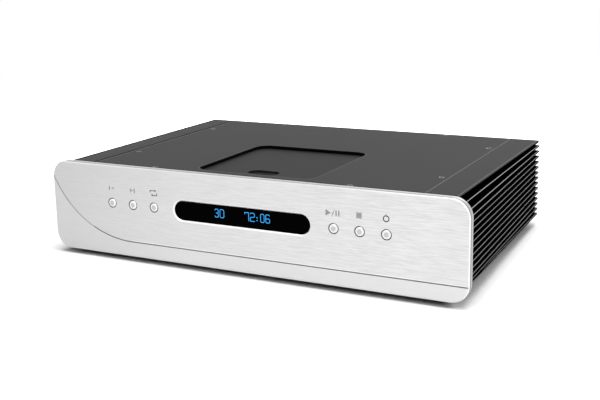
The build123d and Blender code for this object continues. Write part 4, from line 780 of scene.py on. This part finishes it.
def icons():
    """Plain transport marks, printed in three greys above the buttons. Widths and heights in millimetres."""
    dark, middle, light = bmesh.new(), bmesh.new(), bmesh.new()
    high = lambda a, b, t: (a / 1000, FACE - 0.00003 + t, LIFT + b / 1000)
    low = lambda a, b, t: (a / 1000, FACE - 0.00002 + t, LIFT + b / 1000)
    thin = 0.00001

    # previous: a bar, and a mark that points to the left
    slab(dark, box_points(-149.1, -148.2, 66.1, 70.2), high, thin)
    slab(light, [(-146.9, 68.2), (-143.6, 66.9), (-143.6, 69.6)], low, thin)
    # next: a mark that points to the right, and a bar
    slab(light, box_points(-123.5, -122.8, 65.8, 70.0), high, thin)
    slab(light, [(-122.8, 66.6), (-119.9, 67.9), (-122.8, 69.3)], low, thin)
    slab(dark, box_points(-119.1, -118.2, 65.6, 70.3), high, thin)
    # repeat: two halves of a loop with arrow heads
    outward = [(-99.7, 68.2), (-99.7, 69.3)] + arc(-99.1, 69.3, 0.6, 180, 90, 4) + [(-94.0, 69.9)]
    homeward = [(-91.9, 67.6), (-91.9, 66.0)] + arc(-92.6, 66.0, 0.7, 0, -90, 4) + [(-96.8, 65.3)]
    strokes(dark, [outward, homeward], 0.8, high, thin)
    slab(dark, [(-94.4, 71.1), (-92.3, 69.9), (-94.4, 68.8)], low, thin)
    slab(dark, [(-96.7, 66.6), (-99.1, 65.6), (-96.7, 64.3)], low, thin)
    # play and pause
    slab(light, [(88.6, 64.9), (93.2, 67.4), (88.6, 69.9)], low, thin)
    strokes(middle, [[(88.9, 65.1), (88.9, 69.7), (92.9, 67.4), (88.9, 65.1)]], 0.5, high, thin)
    strokes(middle, [[(94.8, 65.2), (96.7, 69.7)]], 0.6, high, thin)
    for x in (98.7, 101.4):
        slab(middle, box_points(x - 0.5, x + 0.5, 64.9, 70.0), high, thin)
    # stop
    slab(light, box_points(118.1, 123.0, 65.1, 70.1), low, thin)
    square = [(118.3, 65.3), (122.8, 65.3), (122.8, 69.9), (118.3, 69.9), (118.3, 65.3)]
    strokes(light, [square], 0.5, high, thin)
    # standby: an open ring and a bar
    strokes(middle, [arc(145.8, 67.4, 2.6, 108, 432, 30)], 0.85, high, thin)
    slab(middle, box_points(145.3, 146.3, 69.0, 71.3), high, thin)

    for name, mesh, tint in (("button_icons", dark, ink("icon_ink", 138)),
                             ("button_icon_outlines", middle, ink("icon_ink_middle", 165)),
                             ("button_icon_fills", light, ink("icon_ink_light", 222))):
        piece(name, mesh, tint, "chassis")


icons()


# ------------------------------------------------------------------ countersunk screws in the cover
HEAD_R, SOCKET_R, SOCKET_DEPTH = 0.0021, 0.0010, 0.00022
COVER_SCREWS = [(sx * 0.1685, FACE + d) for sx in (-1, 1) for d in (0.078, 0.2285)]
COVER_SCREWS += [(sx * 0.1045, FACE + 0.017) for sx in (-1, 1)]
COVER_SCREWS += [(sx * 0.1025, FACE + 0.286) for sx in (-1, 1)]


def socket_screw(mesh, rim, place):
    """A low head with a hexagonal socket, and round it a thin bare edge of the countersink."""
    lathe(mesh, [(0.0, -SOCKET_DEPTH), (SOCKET_R * 0.98, -SOCKET_DEPTH)], place, 6)
    bottom = circle(mesh, SOCKET_R, -SOCKET_DEPTH, place, 6)
    mouth = circle(mesh, SOCKET_R, 0.00004, place, 6)
    edge = circle(mesh, HEAD_R, 0.00002, place, 24)
    band(mesh, bottom, mouth)
    band(mesh, edge, circle(mesh, HEAD_R, -0.0001, place, 24))
    for k in range(24):
        corner, following = k // 4, (k + 1) % 24
        mesh.faces.new((mouth[corner], edge[k], edge[following]))
        if k % 4 == 3:
            mesh.faces.new((mouth[corner], edge[following], mouth[(corner + 1) % 6]))
    lathe(rim, [(HEAD_R + 0.00002, -0.0001), (HEAD_R + 0.00005, 0.00002), (HEAD_R + 0.00016, 0.00005),
                (HEAD_R + 0.00030, 0.00002), (HEAD_R + 0.00032, -0.0001)], place, 32)


def cover_screws():
    heads, rims = bmesh.new(), bmesh.new()
    for x, y in COVER_SCREWS:
        socket_screw(heads, rims, along_z(x, y, TOP))
    black = plastic("screw_black", grey(0.012), 0.5, Specular_IOR_Level=0.1)
    piece("cover_screw_heads", heads, black, "chassis")
    bare = turned_metal("bare_edge", 0.85, 0.35)
    piece("cover_screw_rims", rims, bare, "chassis", smooth=True)


cover_screws()


# ------------------------------------------------------------------ painted highlights and painted shade along the top's edges
# Painted highlight lines and painted shade lines along the case: how far from the middle, and how wide.
PAINTED_HIGHLIGHT_LINES = ((SEAM - 0.0010, 0.0017), (-SEAM + 0.0013, 0.0020), (FLANGE_TIP - 0.0018, 0.0014))
SHADED_LINES = ((-SEAM - 0.0010, 0.0020), (0.0022 - FLANGE_TIP, 0.0026))
SIGHT = math.radians(15.5)             # how steeply one looks down past the panel's upper edge


def ribbon(mesh, path, width, place, closed=False):
    """A flat ribbon of a given width along a 2-D path."""
    count = len(path)
    edges = []
    for i, (px, pz) in enumerate(path):
        before = path[i - 1] if i or closed else path[i]
        after = path[(i + 1) % count] if i < count - 1 or closed else path[i]
        dx, dz = after[0] - before[0], after[1] - before[1]
        size = math.hypot(dx, dz)
        nx, nz = -dz / size * width / 2, dx / size * width / 2
        edges.append((mesh.verts.new(place(px + nx, pz + nz)), mesh.verts.new(place(px - nx, pz - nz))))
    pairs = list(zip(edges, edges[1:])) + ([(edges[-1], edges[0])] if closed else [])
    for (a, b), (c, d) in pairs:
        mesh.faces.new((a, b, d, c))


def top_edges():
    on_top = lambda a, b: (a, b, TOP + PROUD)
    painted_highlight, shaded = bmesh.new(), bmesh.new()
    for mesh, lines in ((painted_highlight, PAINTED_HIGHLIGHT_LINES), (shaded, SHADED_LINES)):
        for x, width in lines:
            ribbon(mesh, [(x, COVER_LO.y), (x, BODY_REAR)], width, on_top)
    behind_panel = COVER_LO.y + (PANEL_HI.z - TOP) / math.tan(SIGHT) + 0.001
    ribbon(shaded, [(-SEAM, behind_panel), (FLANGE_TIP - 0.002, behind_panel)], 0.0022, on_top)
    round_opening = rounded_box(0, OPEN_Y, OPEN_W + 0.0009, OPEN_L + 0.0009, OPEN_R + 0.00045, 12)
    ribbon(painted_highlight, round_opening, 0.0008, on_top, closed=True)
    # Painted highlights: light lines along the seams, the right flange's rounded tip and round the lid's
    # opening.
    highlight_paint = anodised("painted_highlight_anodised", 0.105, 0.5, Specular_IOR_Level=0.05)
    piece("painted_edge_highlights", painted_highlight, highlight_paint, "chassis")
    # Painted shade: dark lines along the left seam, the left flange's outer edge and just behind the panel's
    # upper edge.
    seam = anodised("painted_shade_anodised", 0.008, 0.6, Specular_IOR_Level=0.0)
    piece("seam_shade", shaded, seam, "chassis")


top_edges()


# ------------------------------------------------------------------ lines on the front: groove and window
GROOVE_WIDTH, GROOVE_FLOOR = 0.0010, 0.00047
GROOVE_END_X = 0.2185
WINDOW_LIP = 0.0013                    # outline of the window to the bright line round it


def front_lines():
    bend = arc(BEND_X, GROOVE_Z + BEND_R, BEND_R, 270, 243, 9)
    groove, glint = bmesh.new(), bmesh.new()
    # The grey strip on the groove's floor is painted shade in the groove.
    ribbon(groove, [(GROOVE_END_X, GROOVE_Z)] + bend, GROOVE_WIDTH, lambda a, b: (a, FACE + GROOVE_FLOOR, b))
    # Painted highlights: a bright line just above the groove, and a bright line round the window.
    on_face = lambda a, b: (a, FACE - 0.00001, b)
    ribbon(glint, [(0.2180, GROOVE_Z + 0.0011), (BEND_X, GROOVE_Z + 0.0011)], 0.0007, on_face)
    wide, high = WINDOW_WIDTH + 2 * WINDOW_LIP, WINDOW_HEIGHT + 2 * WINDOW_LIP
    ribbon(glint, rounded_box(0, CONTROL_Z, wide, high, high / 2 - 0.00001, 20), 0.0006, on_face, closed=True)
    piece("groove_glint", glint, turned_metal("painted_glint_metal", 0.93, 0.4), "chassis")
    piece("groove_shade", groove, plastic("groove_grey", grey(0.36), 0.6), "chassis")


front_lines()


# ------------------------------------------------------------------ the lid's opening and its finger notch
def opening_shade_lining():
    """A near-black lining on the walls of the lid's opening: painted shade."""
    mesh = bmesh.new()
    low, high = COVER_LO.z + 0.00005, TOP - 0.00048
    loops = []
    for inset, z in ((0.0, low), (0.00035, low + 0.0002), (0.00035, high - 0.0002), (0.0, high)):
        outline = rounded_box(0, OPEN_Y, OPEN_W - 2 * inset, OPEN_L - 2 * inset, OPEN_R - inset, 12)
        loops.append([mesh.verts.new((px, py, z)) for px, py in outline])
    for a, b in zip(loops, loops[1:] + loops[:1]):
        band(mesh, a, b)
    black = plastic("painted_shade_black", grey(0.0015), 0.7, Specular_IOR_Level=0.03)
    piece("opening_wall_shade", mesh, black, "chassis", smooth=True)


def notch_floor():
    """Lighter sheets on the notch's floor and rear wall: a painted reflection."""
    mesh = bmesh.new()
    inset, skin, thick = 0.0001, 0.00012, 0.0001
    floor_z, rear_y = LID_HI.z - NOTCH_SINK + skin, NOTCH_Y + NOTCH_LENGTH / 2 - skin
    outline = rounded_box(0, NOTCH_Y, NOTCH_WIDTH - 2 * inset, NOTCH_LENGTH - 2 * inset,
                          NOTCH_LENGTH / 2 - inset - 0.00001)
    slab(mesh, outline, lambda a, b, t: (a, b, floor_z - t), thick)
    straight = (NOTCH_WIDTH - NOTCH_LENGTH) / 2
    slab(mesh, box_points(-straight, straight, floor_z, LID_HI.z - 0.0003),
         lambda a, b, t: (a, rear_y + t, b), thick)
    # Painted reflection: the notch's floor and rear wall are painted lighter than the lid.
    blasted = anodised("notch_painted_reflection", 0.035, 0.6, Specular_IOR_Level=0.0)
    piece("notch_floor", mesh, blasted, "lid")


opening_shade_lining()
notch_floor()


# ------------------------------------------------------------------ feet: ribbed rubber, recessed washers
FOOT_R = 0.0190


def feet():
    lo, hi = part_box("feet")
    height = hi.z - lo.z
    spots = [(sx * (hi.x - FOOT_R), y) for sx in (-1, 1) for y in (lo.y + FOOT_R, hi.y - FOOT_R)]
    pads, washers = bmesh.new(), bmesh.new()
    for x, y in spots:
        lathe(pads, [(0.0, 0.0035), (0.0042, 0.0035), (0.0048, 0.0030), (0.0052, 0.0006), (0.0060, 0.0),
                     (0.0158, 0.0), (0.0166, 0.0005), (0.0170, 0.0012), (0.0172, 0.0034), (0.0168, 0.0038),
                     (0.0168, 0.0044), (0.0176, 0.0048), (0.0184, height - 0.0010), (FOOT_R, height - 0.0006),
                     (FOOT_R, height), (0.0, height)], along_z(x, y, lo.z), 56)
        lathe(washers, [(0.0, 0.0030), (0.0014, 0.0030), (0.0016, 0.0026), (0.0034, 0.0029),
                        (0.0038, 0.0034)], along_z(x, y, lo.z), 32)
    obj = piece("rubber_feet", pads, MAT["rubber"], "chassis", smooth=True)
    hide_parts("feet")
    piece("foot_screws", washers, MAT["screw_steel"], "chassis", smooth=True)


feet()


# ------------------------------------------------------------------ the rear: washers, insulators and screws
INLET_X, INLET_Z = 0.125, 0.045
REAR_SCREWS = [(sx * 0.168, z, REAR) for sx in (-1, 1) for z in (0.030, 0.074)]
REAR_SCREWS += [(sx * 0.06, 0.082, REAR) for sx in (-1, 1)]
REAR_SCREWS += [(-0.014, 0.0575, REAR)]
REAR_SCREWS += [(INLET_X + sx * 0.0200, INLET_Z, INLET_FACE) for sx in (-1, 1)]
# Each socket's node, and its insulator's piece, slot, material and colour.
SOCKETS = (
    ("output_socket_left", "insulator_left", "drive_plastic", "insulator_white", grey(0.75)),
    ("output_socket_right", "insulator_right", "socket_black", "insulator_red", (0.5, 0.015, 0.012, 1)),
    ("coaxial_socket", "insulator_coaxial", "socket_black", "insulator_orange", (0.75, 0.2, 0.02, 1)),
)


def sockets():
    def middle(node):
        lo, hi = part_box(node)
        return along_y((lo.x + hi.x) / 2, (lo.z + hi.z) / 2, REAR, 1)

    washers = bmesh.new()
    for node, *_ in SOCKETS:
        lathe(washers, [(0.0053, 0.0), (0.0064, 0.0), (0.0066, 0.0002), (0.0066, 0.0008), (0.0064, 0.0010),
                        (0.0053, 0.0010)], middle(node), 40)
    piece("socket_washers", washers, MAT["socket_gold"], "chassis", smooth=True)
    for node, name, slot, material, colour in SOCKETS:
        ring = bmesh.new()
        lathe(ring, [(0.0018, 0.0085), (0.0019, 0.00895), (0.0036, 0.00895), (0.0038, 0.0088)],
              middle(node), 40)
        piece(name, ring, plastic(material, colour, 0.4), "chassis", smooth=True)


def cross(mesh, x, z, y, half, width, turn):
    """A thin cross on a screw's head: two bars at right angles."""
    for angle in (turn, turn + math.pi / 2):
        c, s = math.cos(angle), math.sin(angle)
        corners = ((half, width), (-half, width), (-half, -width), (half, -width))
        slab(mesh, [(x + c * a - s * b, z + s * a + c * b) for a, b in corners],
             lambda a, b, t: (a, y + t, b), 0.00012)


def rear_screws():
    screws = bmesh.new()
    for x, z, y in REAR_SCREWS:
        lathe(screws, [(0.0030, 0.0), (0.0029, 0.0009), (0.0021, 0.0017), (0.0010, 0.0019), (0.0, 0.0019)],
              along_y(x, z, y, 1), 28)
        cross(screws, x, z, y + 0.00185, 0.0015, 0.0003, 0.3)
    piece("rear_screws", screws, MAT["screw_steel"], "chassis", smooth=True)


sockets()
rear_screws()


# ------------------------------------------------------------------ the drive: friction ring and lens glass
PLATTER_Z = 0.0740
LENS_R, LENS_RISE = 0.0026, 0.0006


def drive_details():
    x, y = (HUB_LO.x + HUB_HI.x) / 2, (HUB_LO.y + HUB_HI.y) / 2
    ring = bmesh.new()
    lathe(ring, [(0.0105, -0.00005), (0.0106, 0.00004), (0.0160, 0.00004), (0.0161, -0.00005)],
          along_z(x, y, PLATTER_Z), 64)
    piece("platter_ring", ring, MAT["rubber"], "spinner", smooth=True)
    glass = bmesh.new()
    turns = [math.pi / 2 * k / 8 for k in range(8)]
    profile = [(LENS_R * math.cos(a), LENS_RISE * math.sin(a)) for a in turns]
    x, y = (LENS_LO.x + LENS_HI.x) / 2, (LENS_LO.y + LENS_HI.y) / 2
    lathe(glass, profile + [(0.0, LENS_RISE)], along_z(x, y, LENS_HI.z), 40)
    piece("lens_glass", glass, MAT["lens_plastic"], "lens", smooth=True)


drive_details()

# ------------------------------------------------------------------ view, and the end
bpy.context.scene.view_settings.view_transform = "Standard"
